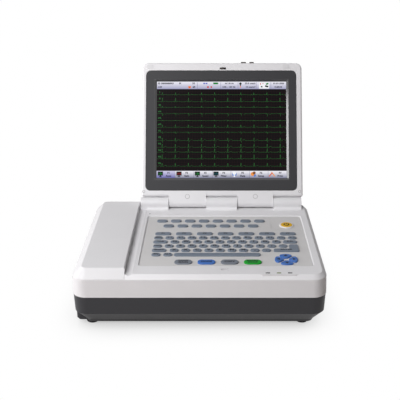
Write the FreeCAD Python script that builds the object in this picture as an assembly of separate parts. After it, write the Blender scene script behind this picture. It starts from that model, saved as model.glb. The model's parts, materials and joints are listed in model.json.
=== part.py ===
import FreeCAD, Part
import math
import os

from FreeCAD import Vector

# A tabletop ECG machine: a low two-tone case with a keyboard, a strip recorder under the
# raised cover on its left, and a display lid that stands open on two barrel hinges.
# Base pieces are written with X from mid-width, Y behind the front face and Z above the table.

# Case, from the table up
FOOT_HEIGHT = 7.0
PLINTH_HEIGHT = 5.0
KEEL_HEIGHT = 18.5
LOWER_WALL_HEIGHT = 30.3
UPPER_WALL_HEIGHT = 30.5
DECK_RISE = 6.7
COVER_RISE = 14.2

# Case, across and along
RECORDER_WIDTH = 83.2
VALLEY_STRIP = 19.8
RIGHT_STRIP = 19.0
FRONT_STRIP = 36.0
REAR_STRIP = 66.6
HINGE_BACK_IN = 24.8
BASE_CORNER = 22.0
HOLLOW_CORNER = 17.2
WAIST_CORNER = 21.0
KEEL_CORNER = 12.0
PLINTH_CORNER = 10.0
UPPER_WALL_DRAFT = 1.4
LOWER_WALL_DRAFT = 1.2
KEEL_STEP = 15.0
REAR_KEEL_STEP = 9.0
PLINTH_STEP = 2.5
SEAM_REVEAL = 0.7
CASE_WALL = 2.8
BEVEL_WALL = 3.8
DECK_WALL = 2.6
FLOOR_WALL = 3.4

# Feet and case screws
FOOT_RADIUS = 12.0
FOOT_TREAD_RADIUS = 9.5
FOOT_EDGE = 1.2
FOOT_FRONT_IN = 34.0
FOOT_BACK_IN = 42.0
FOOT_LEFT_IN = 25.0
FOOT_RIGHT_IN = 34.1
SCREW_RADIUS = 1.5
SCREW_PLAY = 0.2
SCREW_HEAD_RADIUS = 2.9
SCREW_HEAD_HEIGHT = 2.2
SCREW_SOCKET_DEPTH = 1.2
SCREW_SHOULDER = 14.0
SCREW_LENGTH = 51.4
SCREW_POST_RADIUS = 5.0
SCREW_FRONT_IN = 31.0
SCREW_BACK_IN = 18.0
SCREW_RIGHT_IN = 30.0
SCREW_LEFT_IN = 12.8
SCREW_MIDDLE_X = 60.0
SCREW_SIDE_FRONT = 60.0
SCREW_SIDE_BACK = 200.0
BOSS_HEIGHT = 18.0
BOSS_ROOF = 3.0
WEB_THICKNESS = 4.0
WEB_RISE = 4.0

# Recorder well and cover
WELL_END = 24.0
WELL_DEPTH = 46.0
WELL_CORNER = 5.0
WELL_EDGE = 2.5
COVER_WALL = 2.4
COVER_EDGE = 2.0
SHOULDER_EDGE = 2.5
DECK_EDGE = 1.5
VALLEY_WIDTH = 12.0
VALLEY_DEPTH = 1.8
PAPER_SLOT_HEIGHT = 2.8
PAPER_SLOT_MARGIN = 2.0
RAIL_WIDTH = 7.0
RAIL_HEIGHT = 6.0
RAIL_DROP = 1.2
LEG_WIDTH = 12.0
LEG_THICKNESS = 2.0
TOE_REACH = 4.0

# Deck details
LED_COUNT = 3
LED_FIRST_IN = 58.4
LED_PITCH = 17.4
LED_Y = 10.7
LED_WIDTH = 7.0
LED_DEPTH = 2.6
LED_CORNER = 1.0
LED_SINK = 1.5
LED_PROUD = 0.2
SCOOP_MARGIN = 17.0
SCOOP_TAPER = 9.0
SCOOP_REACH = 2.2
MICROPHONE_BACK_IN = 10.9
MICROPHONE_RADIUS = 1.3
CATCH_IN = 12.9
CATCH_WIDTH = 16.0
CATCH_DEPTH = 8.0
CATCH_LIP = 1.0
CATCH_CUP = 2.0
CATCH_FLOOR = 1.0
CATCH_CORNER = 1.5

# Keyboard recess and what is under it
RECESS_CORNER = 5.0
RECESS_BEVEL = 1.8
PANEL_LIP = 5.5
PANEL_THICKNESS = 2.0
PANEL_RISE = 1.5
BOARD_THICKNESS = 1.6
BOARD_CORNER = 3.0
MAT_THICKNESS = 1.0
POST_RADIUS = 2.6
POST_INSET = 5.0
GROOVE_WIDTH = 0.6
GROOVE_DEPTH = 0.4
GROOVE_MARGIN = 2.0
GROOVE_STEP = 10.6
GROOVE_BELOW = 12.1

# Keys
KEY_RISE = 2.1
KEY_TRAVEL = 1.5
KEY_FLANGE = 0.9
KEY_FLANGE_THICKNESS = 1.1
KEY_DEPTH = 10.2
KEY_WIDTH = 14.8
KEY_EDGE = 0.9
KEY_ROUND = 0.98
KEY_PITCH = 19.19
SOFT_KEY_WIDTH = 19.0
SOFT_KEY_PITCH = 25.09
PRESET_KEY_WIDTH = 27.8
WIDE_KEY_WIDTH = 24.2
FUNCTION_KEY_WIDTH = 28.6
FUNCTION_KEY_DEPTH = 14.8
FUNCTION_KEY_PITCH = 37.3
SPACE_WIDTH = 142.3
ENTER_WIDTH = 41.9
ENTER_UPPER_WIDTH = 14.9
ENTER_CORNER = 2.5
ARROW_PAD_RADIUS = 18.6
ARROW_PAD_HOLE = 4.6
ARROW_GAP = 3.2
ARROW_CORNER = 3.4
ARROW_INNER_CORNER = 1.0
POWER_KEY_RADIUS = 10.2
POWER_RING_WIDTH = 2.5
POWER_RING_RISE = 1.5
POWER_RING_EDGE = 0.9

# Rows of keys: how many, how far the first lies from the recess's left edge, and the row steps
REAR_SOFT_COUNT = 8
FRONT_SOFT_COUNT = 7
PRESET_COUNT = 7
NUMBER_COUNT = 13
UPPER_COUNT = 10
MIDDLE_COUNT = 12
LOWER_COUNT = 9
MODIFIER_COUNT = 2
REAR_SOFT_IN = 26.5
FRONT_SOFT_IN = 39.1
PRESET_IN = 31.4
PRESET_RIGHT_IN = 29.4
NUMBER_IN = 24.3
NUMBER_RIGHT_IN = 16.02
UPPER_IN = 53.2
MIDDLE_IN = 25.0
LOWER_IN = 53.5
MODIFIER_IN = 24.6
WIDE_IN = 28.6
SPACE_IN = 54.1
ENTER_RIGHT_IN = 16.7
FUNCTION_IN = 70.3
ARROW_RIGHT_IN = 41.0
POWER_RIGHT_IN = 28.3
FUNCTION_FRONT_IN = 13.3
ARROW_STEP = 9.0
SPACE_STEP = 27.0
ROW_PITCH = 16.4
PRESET_STEP = 17.0
SOFT_STEP = 33.7
SOFT_ROW_PITCH = 22.1
SOFT_BACK_IN = 22.7
POWER_STEP = 4.2
FUNCTION_NAMES = ("gain_key", "mode_key", "copy_key", "start_key")
ARROW_NAMES = ("arrow_right_key", "arrow_up_key", "arrow_left_key", "arrow_down_key")

# Display lid, written from the hinge axis: Y up the lid, Z towards the user
LID_TILT = 26.2
LID_SHIFT = -4.5
HINGE_RISE = 9.0
SCREEN_WIDTH = 246.0
SCREEN_HEIGHT = 184.5
SCREEN_BEVEL = 3.8
SCREEN_DEPTH = 3.2
SCREEN_CORNER = 1.0
BEZEL_LEFT_BORDER = 20.3
BEZEL_RIGHT_BORDER = 19.0
SCREEN_LIFT = 1.65
BEZEL_CORNER = 9.0
BEZEL_SINK = 0.5
BEZEL_LIP = 2.4
LID_LEFT_BORDER = 7.0
LID_RIGHT_BORDER = 10.5
LID_LOWER_BORDER = 11.55
LID_UPPER_BORDER = 14.85
LID_FOOT = 11.25
LID_FACE = 7.8
LID_FRONT_DEPTH = 12.8
LID_BACK_DEPTH = 13.2
LID_CORNER = 11.6
LID_LOW_CORNER = 4.0
LID_INNER_CORNER = 2.5
LID_FRONT_EDGE = 3.0
LID_LOWER_EDGE = 5.0
LID_BACK_EDGE = 6.0
LID_WALL = 2.4
LID_BACK_WALL = 3.4
LID_POST_RADIUS = 4.0
GLASS_THICKNESS = 1.1
MODULE_DEPTH = 6.5
MODULE_MARGIN = 8.0
DISPLAY_BOARD_WIDTH = 150.0
DISPLAY_BOARD_HEIGHT = 60.0
PAD_LEFT_IN = 14.3
PAD_RIGHT_IN = 30.5
PAD_TOP_IN = 7.25
PAD_WIDTH = 12.0
PAD_HEIGHT = 8.0
PAD_PROUD = 0.6
PAD_CORNER = 2.0
CORNER_CAP_LEFT_IN = 3.8
CORNER_CAP_RIGHT_IN = 6.0
CORNER_CAP_UP = 21.0
CORNER_CAP_RADIUS = 1.8
CORNER_CAP_PROUD = 0.4

# Hinges
BARREL_RADIUS = 10.8
BARREL_FOOT = 6.0
BARREL_WIDTH = 52.0
MIDDLE_BARREL_WIDTH = 57.9
BARREL_LEFT_OUT = 1.6
BARREL_RIGHT_IN = 2.9
HINGE_PIN_RADIUS = 2.5
PIN_END = 14.0
PIN_MIDDLE = 6.0
KNUCKLE_PLAY = 0.4
KNUCKLE_COVER_TOP = 19.0
KNUCKLE_COVER_PROUD = 0.5
TROUGH_RADIUS = 10.3
CAP_UP = 11.5
CAP_RADIUS = 3.7
CAP_PROUD = 0.4

# Latch
LATCH_X = 0.9
LATCH_TOP_IN = 10.85
LATCH_WIDTH = 8.0
LATCH_HEIGHT = 2.8
LATCH_REACH = 2.6
LATCH_TRAVEL = 3.0
LATCH_SLOT_RIM = 0.6
LATCH_BAR = 3.0
BARB_HEIGHT = 1.2
BARB_LENGTH = 2.0
SLIDER_X = 36.5
SLIDER_WIDTH = 26.0
SLIDER_IN = 3.0
SLIDER_THICKNESS = 3.4
SLIDER_PROUD = 3.4
SLIDER_RIBS = ((0.8, 10.2), (17.0, 25.2))

# Recorder works
PLATEN_IN = 22.0
PLATEN_RADIUS = 8.0
PLATEN_DROP = 10.8
PLATEN_SHAFT_RADIUS = 3.0
SHAFT_END = 3.0
ROLLER_PLAY = 1.0
FRAME_FRONT = 36.0
FRAME_MARGIN = 9.0
FRAME_PLATE = 2.5
FRAME_LEFT_IN = 10.0
FRAME_RIGHT_IN = 5.2
FRAME_EAR_WIDTH = 26.0
PAPER_WIDTH = 210.0
ROLL_IN = 50.0
ROLL_RADIUS = 26.0
ROLL_CORE_RADIUS = 9.0
ROLL_CORE_WALL = 2.5
ROLL_FLOOR_GAP = 5.0
STUB_REACH = 9.0
HEAD_HEIGHT = 6.8
HEAD_WIDTH = 18.0
HEAD_FOOT_WIDTH = 8.0
HEAD_FOOT_HEIGHT = 1.5
HEAD_FOOT_INSET = 4.0
HEAD_FIN_COUNT = 4
HEAD_FIN_PITCH = 4.0
HEAD_FIN_GAP = 2.0
HEAD_FIN_DEPTH = 2.8
HEAD_FIN_INSET = 6.0
GEAR_MODULE = 0.8
GEAR_WIDTH = 5.0
GEAR_GAP = 1.0
PLATEN_TEETH = 24
IDLER_TEETH = 30
PINION_TEETH = 18
IDLER_ANGLE = -20.0
PINION_ANGLE = -10.0
PRESSURE_ANGLE = 20.0
ADDENDUM = 0.95
DEDENDUM = 1.25
BACKLASH = 0.14
FLANK_POINTS = 5
IDLER_AXLE_RADIUS = 3.0
AXLE_END = 0.5
MOTOR_RADIUS = 17.0
MOTOR_LENGTH = 15.0
MOTOR_GAP = 2.0
MOTOR_BACK_IN = 17.0
MOTOR_SHAFT_RADIUS = 2.0
MOTOR_BORE_DEPTH = 8.0
MOTOR_POST_RADIUS = 3.0
MOTOR_POST_IN = 4.0
MOTOR_POST_ANGLES = (-10, -100)

# Electronics in the lower case, from the recess's left edge
BATTERY_IN = 37.0
BATTERY_FRONT = 45.0
BATTERY_LENGTH = 148.0
BATTERY_WIDTH = 62.0
BATTERY_HEIGHT = 24.0
BATTERY_CORNER = 3.0
DOOR_MARGIN = 5.0
PULL_INSET = 10.0
PULL_LENGTH = 30.0
PULL_WIDTH = 10.0
PULL_DEPTH = 1.2
PULL_CORNER = 4.0
MAIN_BOARD_IN = 37.0
MAIN_BOARD_GAP = 23.0
MAIN_BOARD_LENGTH = 150.0
MAIN_BOARD_DEPTH = 130.0
STANDOFF_HEIGHT = 8.0
STANDOFF_RADIUS = 4.0
STANDOFF_INSET = 8.0
SHIELD_INSET = 20.0
SHIELD_WIDTH = 55.0
SHIELD_DEPTH = 50.0
SHIELD_HEIGHT = 6.0
SHIELD_CORNER = 2.0
PROCESSOR_INSET = 30.0
PROCESSOR_SIZE = 25.0
PROCESSOR_HEIGHT = 2.5
HEADER_INSET = 30.0
HEADER_BACK = 12.0
HEADER_LENGTH = 50.0
HEADER_DEPTH = 8.0
HEADER_HEIGHT = 9.0
SUPPLY_GAP = 14.0
SUPPLY_BACK_IN = 34.0
SUPPLY_LENGTH = 56.0
SUPPLY_DEPTH = 50.0
SUPPLY_HEIGHT = 30.0
SUPPLY_CORNER = 2.0
SPEAKER_RIGHT_IN = 60.0
SPEAKER_Y = 70.0
SPEAKER_RADIUS = 20.0
SPEAKER_NECK_RADIUS = 11.0
SPEAKER_MAGNET_RADIUS = 12.0
SPEAKER_MAGNET_HEIGHT = 5.6
SPEAKER_BASKET_HEIGHT = 9.8
SPEAKER_RIM_HEIGHT = 4.2

# Sockets
SOCKET_DROP = 16.0
INLET_IN = 217.0
INLET_WIDTH = 28.0
INLET_HEIGHT = 20.6
INLET_DEPTH = 24.0
INLET_RIM = 1.8
INLET_CAVITY_DEPTH = 15.0
INLET_FLANGE = 3.0
INLET_FLANGE_THICKNESS = 1.5
BLADE_COUNT = 3
BLADE_WIDTH = 2.0
BLADE_HEIGHT = 4.0
BLADE_SPACING = 7.0
BLADE_SINK = 3.0
PORTS_IN = 117.0
PORTS_WIDTH = 46.0
PORTS_HEIGHT = 16.0
PORTS_DEPTH = 16.0
PORTS_MARGIN = 5.0
LAN_WIDTH = 11.8
LAN_HEIGHT = 8.4
LAN_DEPTH = 12.0
USB_WIDTH = 12.6
USB_HEIGHT = 5.2
USB_DEPTH = 9.0
USB_TONGUE = 1.8
USB_TONGUE_INSET = 1.0
EARTH_IN = 257.0
EARTH_RADIUS = 3.0
EARTH_LENGTH = 16.0
EARTH_THREAD = 10.0
EARTH_CHAMFER = 0.8
EARTH_COLLAR_RADIUS = 5.0
EARTH_COLLAR_THICKNESS = 1.5
EARTH_NUT_RADIUS = 6.0
EARTH_NUT_THICKNESS = 4.0
ECG_Y = 120.0
ECG_WIDTH = 42.0
ECG_HEIGHT = 15.0
ECG_DEPTH = 18.0
ECG_FLANGE = 3.0
D_TOP_HALF = 13.5
D_BASE_HALF = 12.0
D_HALF_HEIGHT = 4.2
D_GROOVE_WIDTH = 1.0
D_GROOVE_DEPTH = 5.0
D_SINK = 0.6

# Fits, and how far a cutter runs past the face it opens
GAP = 0.3
FIT = 0.05
SEAT = 0.1
PAST = 1.0

# The recorder is as long as its paper and the works behind it
ROLL_START = FRAME_FRONT + FRAME_MARGIN
ROLL_END = ROLL_START + PAPER_WIDTH
FRAME_BACK = ROLL_END + FRAME_MARGIN
GEAR_Y = FRAME_BACK + GEAR_GAP
MOTOR_Y = GEAR_Y + GEAR_WIDTH + MOTOR_GAP
RECORDER_DEPTH = MOTOR_Y + MOTOR_LENGTH + MOTOR_BACK_IN

# The recess is as large as its keys, and the case takes in both it and the recorder
NUMBER_SPAN = KEY_PITCH * (NUMBER_COUNT - 1)
RECESS_WIDTH = NUMBER_IN + NUMBER_SPAN + KEY_WIDTH / 2 + NUMBER_RIGHT_IN
BASE_WIDTH = RECORDER_WIDTH + VALLEY_STRIP + RECESS_WIDTH + RIGHT_STRIP
HALF_WIDTH = BASE_WIDTH / 2
COVER_RIGHT = RECORDER_WIDTH - HALF_WIDTH
DECK_LEFT = COVER_RIGHT + GAP
RECESS_LEFT = COVER_RIGHT + VALLEY_STRIP
RECESS_RIGHT = RECESS_LEFT + RECESS_WIDTH
RECESS_FRONT = FRONT_STRIP
FUNCTION_ROW = RECESS_FRONT + FUNCTION_FRONT_IN
ARROW_ROW = FUNCTION_ROW + ARROW_STEP
SPACE_ROW = FUNCTION_ROW + SPACE_STEP
LOWER_ROW = SPACE_ROW + ROW_PITCH
MIDDLE_ROW = LOWER_ROW + ROW_PITCH
UPPER_ROW = MIDDLE_ROW + ROW_PITCH
NUMBER_ROW = UPPER_ROW + ROW_PITCH
PRESET_ROW = NUMBER_ROW + PRESET_STEP
FRONT_SOFT_ROW = PRESET_ROW + SOFT_STEP
REAR_SOFT_ROW = FRONT_SOFT_ROW + SOFT_ROW_PITCH
POWER_ROW = FRONT_SOFT_ROW + POWER_STEP
RECESS_BACK = REAR_SOFT_ROW + SOFT_BACK_IN
BASE_DEPTH = max(RECESS_BACK + REAR_STRIP, RECORDER_DEPTH)
HINGE_Y = BASE_DEPTH - HINGE_BACK_IN
PRESET_KEY_PITCH = (RECESS_WIDTH - PRESET_IN - PRESET_RIGHT_IN) / (PRESET_COUNT - 1)
SPACE_X = RECESS_LEFT + SPACE_IN + SPACE_WIDTH / 2
ENTER_RIGHT = RECESS_RIGHT - ENTER_RIGHT_IN
ARROW_X = RECESS_RIGHT - ARROW_RIGHT_IN
POWER_X = RECESS_RIGHT - POWER_RIGHT_IN
GROOVE_X = (RECESS_LEFT + REAR_SOFT_IN + SOFT_KEY_PITCH * (REAR_SOFT_COUNT - 1) + SOFT_KEY_WIDTH / 2
            + GROOVE_STEP)
GROOVE_Y = FRONT_SOFT_ROW - GROOVE_BELOW

# Heights above the table
KEEL_Z = FOOT_HEIGHT + PLINTH_HEIGHT
WAIST_Z = KEEL_Z + KEEL_HEIGHT
SEAM_Z = WAIST_Z + LOWER_WALL_HEIGHT
WALL_TOP_Z = SEAM_Z + UPPER_WALL_HEIGHT
DECK_Z = WALL_TOP_Z + DECK_RISE
COVER_Z = WALL_TOP_Z + COVER_RISE
FLOOR_Z = FOOT_HEIGHT + FLOOR_WALL
SHOULDER_Z = FOOT_HEIGHT + SCREW_SHOULDER
DECK_UNDER_Z = DECK_Z - DECK_WALL
PANEL_Z = DECK_UNDER_Z - SEAT
PANEL_UNDER_Z = PANEL_Z - PANEL_THICKNESS
PANEL_FACE_Z = PANEL_Z + PANEL_RISE
KEY_TOP_Z = PANEL_FACE_Z + KEY_RISE
FLANGE_TOP_Z = PANEL_UNDER_Z - SEAT
FLANGE_Z = FLANGE_TOP_Z - KEY_FLANGE_THICKNESS
MAT_TOP_Z = FLANGE_Z - KEY_TRAVEL - GAP
BOARD_TOP_Z = MAT_TOP_Z - MAT_THICKNESS
HINGE_Z = DECK_Z + HINGE_RISE
RAIL_TOP_Z = WALL_TOP_Z - RAIL_DROP
RAIL_Z = RAIL_TOP_Z - RAIL_HEIGHT
MAIN_BOARD_Z = FLOOR_Z + STANDOFF_HEIGHT
SOCKET_Z = SEAM_Z - SOCKET_DROP

# Places in the case
SEAM_IN = SEAM_REVEAL - UPPER_WALL_DRAFT
SEAM_CORNER = BASE_CORNER - SEAM_IN
WAIST_IN = SEAM_IN + LOWER_WALL_DRAFT
KEEL_IN = WAIST_IN + KEEL_STEP
REAR_FACE = BASE_DEPTH - SEAM_IN
RIGHT_FACE = HALF_WIDTH - SEAM_IN
VALLEY_RADIUS = (VALLEY_WIDTH ** 2 / 4 + VALLEY_DEPTH ** 2) / (2 * VALLEY_DEPTH)
SCREW_LEFT_X = COVER_RIGHT + SCREW_LEFT_IN
SCREW_RIGHT_X = HALF_WIDTH - SCREW_RIGHT_IN
SCREW_BACK_Y = BASE_DEPTH - SCREW_BACK_IN
SCREW_PLACES = (
    (SCREW_LEFT_X, SCREW_FRONT_IN), (SCREW_MIDDLE_X, SCREW_FRONT_IN),
    (SCREW_RIGHT_X, SCREW_SIDE_FRONT), (SCREW_RIGHT_X, SCREW_SIDE_BACK),
    (SCREW_LEFT_X, SCREW_BACK_Y), (SCREW_MIDDLE_X, SCREW_BACK_Y),
)
FOOT_PLACES = [(x, y) for x in (FOOT_LEFT_IN - HALF_WIDTH, HALF_WIDTH - FOOT_RIGHT_IN)
               for y in (FOOT_FRONT_IN, BASE_DEPTH - FOOT_BACK_IN)]
LED_FIRST_X = HALF_WIDTH - LED_FIRST_IN - LED_PITCH * (LED_COUNT - 1)
LED_PLACES = [LED_FIRST_X + LED_PITCH * i for i in range(LED_COUNT)]
BATTERY_LEFT = RECESS_LEFT + BATTERY_IN
BATTERY_BACK = BATTERY_FRONT + BATTERY_WIDTH
MAIN_BOARD_LEFT = RECESS_LEFT + MAIN_BOARD_IN
MAIN_BOARD_FRONT = BATTERY_BACK + MAIN_BOARD_GAP
MAIN_BOARD_RIGHT = MAIN_BOARD_LEFT + MAIN_BOARD_LENGTH
MAIN_BOARD_BACK = MAIN_BOARD_FRONT + MAIN_BOARD_DEPTH
SUPPLY_LEFT = MAIN_BOARD_RIGHT + SUPPLY_GAP
SUPPLY_BACK = BASE_DEPTH - SUPPLY_BACK_IN
SPEAKER_X = HALF_WIDTH - SPEAKER_RIGHT_IN
INLET_X = RECESS_LEFT + INLET_IN
PORTS_X = RECESS_LEFT + PORTS_IN
EARTH_X = RECESS_LEFT + EARTH_IN

# Places on the lid
SCREEN_X = (RECESS_LEFT + RECESS_RIGHT) / 2 + LID_SHIFT
CATCH_X = SCREEN_X + LATCH_X
CATCH_Y = RECESS_FRONT - CATCH_IN
LATCH_UP = HINGE_Y - CATCH_Y
LID_TOP = LATCH_UP + LATCH_TOP_IN
BEZEL_LEFT = -SCREEN_WIDTH / 2 - BEZEL_LEFT_BORDER
BEZEL_RIGHT = SCREEN_WIDTH / 2 + BEZEL_RIGHT_BORDER
BEZEL_BOTTOM = LID_FOOT + LID_LOWER_BORDER
BEZEL_TOP = LID_TOP - LID_UPPER_BORDER
SCREEN_UP = (BEZEL_BOTTOM + BEZEL_TOP) / 2 + SCREEN_LIFT
LID_LEFT = BEZEL_LEFT - LID_LEFT_BORDER
LID_RIGHT = BEZEL_RIGHT + LID_RIGHT_BORDER
LID_SPLIT = LID_FACE - LID_FRONT_DEPTH
LID_BACK = LID_SPLIT - LID_BACK_DEPTH
BEZEL_FACE = LID_FACE - BEZEL_SINK
GLASS_FACE = BEZEL_FACE - SCREEN_DEPTH
MODULE_FACE = GLASS_FACE - GLASS_THICKNESS
MODULE_BACK = MODULE_FACE - MODULE_DEPTH
KNUCKLE_FACE = LID_FACE + KNUCKLE_COVER_PROUD
SLIDER_BACK = LID_SPLIT + SLIDER_IN
SLIDER_FRONT = SLIDER_BACK + SLIDER_THICKNESS
BARREL_LEFT = LID_LEFT - BARREL_LEFT_OUT
BARREL_RIGHT = LID_RIGHT - BARREL_RIGHT_IN
BARREL_SPANS = (
    (BARREL_LEFT, BARREL_LEFT + BARREL_WIDTH),
    (-MIDDLE_BARREL_WIDTH / 2, MIDDLE_BARREL_WIDTH / 2),
    (BARREL_RIGHT - BARREL_WIDTH, BARREL_RIGHT),
)
KNUCKLE_SPANS = [(BARREL_SPANS[i][1] + KNUCKLE_PLAY, BARREL_SPANS[i + 1][0] - KNUCKLE_PLAY) for i in range(2)]

# Places in the recorder
PLATEN_X = PLATEN_IN - HALF_WIDTH
PLATEN_Z = WALL_TOP_Z - PLATEN_DROP
HEAD_Z = PLATEN_Z + PLATEN_RADIUS + SEAT
HEAD_TOP_Z = HEAD_Z + HEAD_HEIGHT
FRAME_LEFT = FRAME_LEFT_IN - HALF_WIDTH
FRAME_RIGHT = COVER_RIGHT - FRAME_RIGHT_IN
ROLL_X = ROLL_IN - HALF_WIDTH
ROLL_Z = FLOOR_Z + FRAME_PLATE + ROLL_FLOOR_GAP + ROLL_RADIUS

# The lid's rounded back top edge is the rearmost point, so it sets the overall depth.
LEAN = math.radians(LID_TILT)
EDGE_UP = LID_TOP - LID_BACK_EDGE
EDGE_BACK = -LID_BACK - LID_BACK_EDGE
OVERALL_DEPTH = (UPPER_WALL_DRAFT + HINGE_Y + EDGE_UP * math.sin(LEAN) + EDGE_BACK * math.cos(LEAN)
                 + LID_BACK_EDGE)
FRONT = UPPER_WALL_DRAFT - OVERALL_DEPTH / 2


# Shape helpers

def box(x0, x1, y0, y1, z0, z1):
    return Part.makeBox(x1 - x0, y1 - y0, z1 - z0, Vector(x0, y0, z0))


def rod(radius, start, end):
    line = Vector(*end) - Vector(*start)
    return Part.makeCylinder(radius, line.Length, Vector(*start), line)


def rounded_wire(x0, x1, y0, y1, z, low, high=None):
    """A rectangle with corners of radius low at y0 and high at y1."""
    high = low if high is None else high
    cut_low = low * (1 - math.sqrt(0.5))
    cut_high = high * (1 - math.sqrt(0.5))

    def point(x, y):
        return Vector(x, y, z)

    def corner(start, middle, end):
        return Part.Arc(point(*start), point(*middle), point(*end)).toShape()

    def side(start, end):
        return Part.LineSegment(point(*start), point(*end)).toShape()

    return Part.Wire([
        side((x0 + low, y0), (x1 - low, y0)),
        corner((x1 - low, y0), (x1 - cut_low, y0 + cut_low), (x1, y0 + low)),
        side((x1, y0 + low), (x1, y1 - high)),
        corner((x1, y1 - high), (x1 - cut_high, y1 - cut_high), (x1 - high, y1)),
        side((x1 - high, y1), (x0 + high, y1)),
        corner((x0 + high, y1), (x0 + cut_high, y1 - cut_high), (x0, y1 - high)),
        side((x0, y1 - high), (x0, y0 + low)),
        corner((x0, y0 + low), (x0 + cut_low, y0 + cut_low), (x0 + low, y0)),
    ])


def slab(x0, x1, y0, y1, z0, z1, low, high=None):
    return Part.Face(rounded_wire(x0, x1, y0, y1, z0, low, high)).extrude(Vector(0, 0, z1 - z0))


def loft(wires):
    return Part.makeLoft(wires, True, True)


def case_outline(z, step, corner, rear_step=None):
    """The case's plan at one height, stepped in from its outline at the shoulder."""
    rear_step = step if rear_step is None else rear_step
    return rounded_wire(step - HALF_WIDTH, HALF_WIDTH - step, step, BASE_DEPTH - rear_step, z, corner)


def rim(shape, z):
    """The edges of a shape that lie at one height."""
    return [e for e in shape.Edges if all(abs(v.Z - z) < 1e-6 for v in e.Vertexes)]


def prism(corners, along):
    return Part.Face(Part.makePolygon(corners + corners[:1])).extrude(along)


def fuse(shapes):
    return shapes[0].multiFuse(shapes[1:]).removeSplitter()


def cut(shape, tools):
    return shape.cut(tools).removeSplitter()


def group(shapes):
    return Part.makeCompound(shapes)


def on_lid(shape):
    """Moves a piece written from the hinge axis to the open lid."""
    placed = shape.copy()
    placed.rotate(Vector(0, 0, 0), Vector(1, 0, 0), 90 - LID_TILT)
    placed.translate(Vector(SCREEN_X, HINGE_Y, HINGE_Z))
    return placed


# Lower case

def lower_case_body(wall, floor_z, top_z):
    """The lower case's outside, or its inside when stepped in by the wall."""
    rear = SEAM_IN + wall
    sections = [
        case_outline(top_z, SEAM_IN + wall, SEAM_CORNER - wall),
        case_outline(WAIST_Z, WAIST_IN + wall, WAIST_CORNER - wall, rear),
        case_outline(max(KEEL_Z, floor_z), KEEL_IN + wall, KEEL_CORNER - wall, rear + REAR_KEEL_STEP),
    ]
    if floor_z < KEEL_Z:
        sections.append(case_outline(floor_z, KEEL_IN + PLINTH_STEP + wall, PLINTH_CORNER - wall,
                                     rear + REAR_KEEL_STEP + PLINTH_STEP))
    return fuse([loft(sections), recorder_well(wall, floor_z, top_z)])


def recorder_well(wall, floor_z, top_z):
    """The straight-sided well on the left, which follows the wall's draft and then drops."""
    def plan(z, inset):
        return rounded_wire(inset + wall - HALF_WIDTH, WELL_DEPTH - HALF_WIDTH, WELL_END + wall,
                            BASE_DEPTH - WELL_END - wall, z, WELL_CORNER)

    edge = max(floor_z, FOOT_HEIGHT + WELL_EDGE)
    sections = [plan(top_z, SEAM_IN), plan(WAIST_Z, WAIST_IN), plan(edge, WAIST_IN)]
    if edge > floor_z:
        sections.append(plan(floor_z, WAIST_IN + WELL_EDGE))
    return loft(sections)


def rear_cutter(x, width, height):
    half_w = width / 2 + GAP
    half_h = height / 2 + GAP
    return box(x - half_w, x + half_w, REAR_FACE - 2 * CASE_WALL, REAR_FACE + PAST, SOCKET_Z - half_h,
               SOCKET_Z + half_h)


def side_cutter():
    half_w = ECG_WIDTH / 2 + GAP
    half_h = ECG_HEIGHT / 2 + GAP
    return box(RIGHT_FACE - ECG_DEPTH, RIGHT_FACE + PAST, ECG_Y - half_w, ECG_Y + half_w, SOCKET_Z - half_h,
               SOCKET_Z + half_h)


def bottom_case():
    shell = lower_case_body(0, FOOT_HEIGHT, SEAM_Z)
    shell = shell.cut(lower_case_body(CASE_WALL, FLOOR_Z, SEAM_Z + PAST))
    posts = [rod(SCREW_POST_RADIUS, (x, y, FLOOR_Z - PAST), (x, y, SEAM_Z)) for x, y in SCREW_PLACES]
    stands = [rod(STANDOFF_RADIUS, (x, y, FLOOR_Z - PAST), (x, y, MAIN_BOARD_Z)) for x, y in board_stands()]
    shell = fuse([shell] + posts + stands)
    holes = []
    for x, y in SCREW_PLACES:
        holes.append(rod(SCREW_HEAD_RADIUS + GAP, (x, y, FOOT_HEIGHT - PAST), (x, y, SHOULDER_Z)))
        holes.append(rod(SCREW_RADIUS + SCREW_PLAY, (x, y, FOOT_HEIGHT), (x, y, SEAM_Z + PAST)))
    holes.append(battery_door_outline(FOOT_HEIGHT - PAST, FLOOR_Z + PAST, GAP))
    holes.append(rear_cutter(INLET_X, INLET_WIDTH, INLET_HEIGHT))
    holes.append(rear_cutter(PORTS_X, PORTS_WIDTH, PORTS_HEIGHT))
    holes.append(rod(EARTH_RADIUS + FIT, (EARTH_X, REAR_FACE - EARTH_THREAD, SOCKET_Z),
                     (EARTH_X, REAR_FACE + PAST, SOCKET_Z)))
    holes.append(side_cutter())
    return cut(shell, holes)


def rubber_feet():
    feet = []
    for x, y in FOOT_PLACES:
        foot = Part.makeCone(FOOT_TREAD_RADIUS, FOOT_RADIUS, FOOT_HEIGHT, Vector(x, y, 0))
        feet.append(foot.makeFillet(FOOT_EDGE, rim(foot, 0)))
    return group(feet)


def case_screws():
    screws = []
    head_z = SHOULDER_Z - SCREW_HEAD_HEIGHT
    for x, y in SCREW_PLACES:
        head = rod(SCREW_HEAD_RADIUS, (x, y, head_z), (x, y, SHOULDER_Z))
        shank = rod(SCREW_RADIUS, (x, y, SHOULDER_Z), (x, y, SHOULDER_Z + SCREW_LENGTH))
        socket = rod(SCREW_RADIUS, (x, y, head_z), (x, y, head_z + SCREW_SOCKET_DEPTH))
        screws.append(fuse([head, shank]).cut(socket))
    return group(screws)


# Upper case

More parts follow.
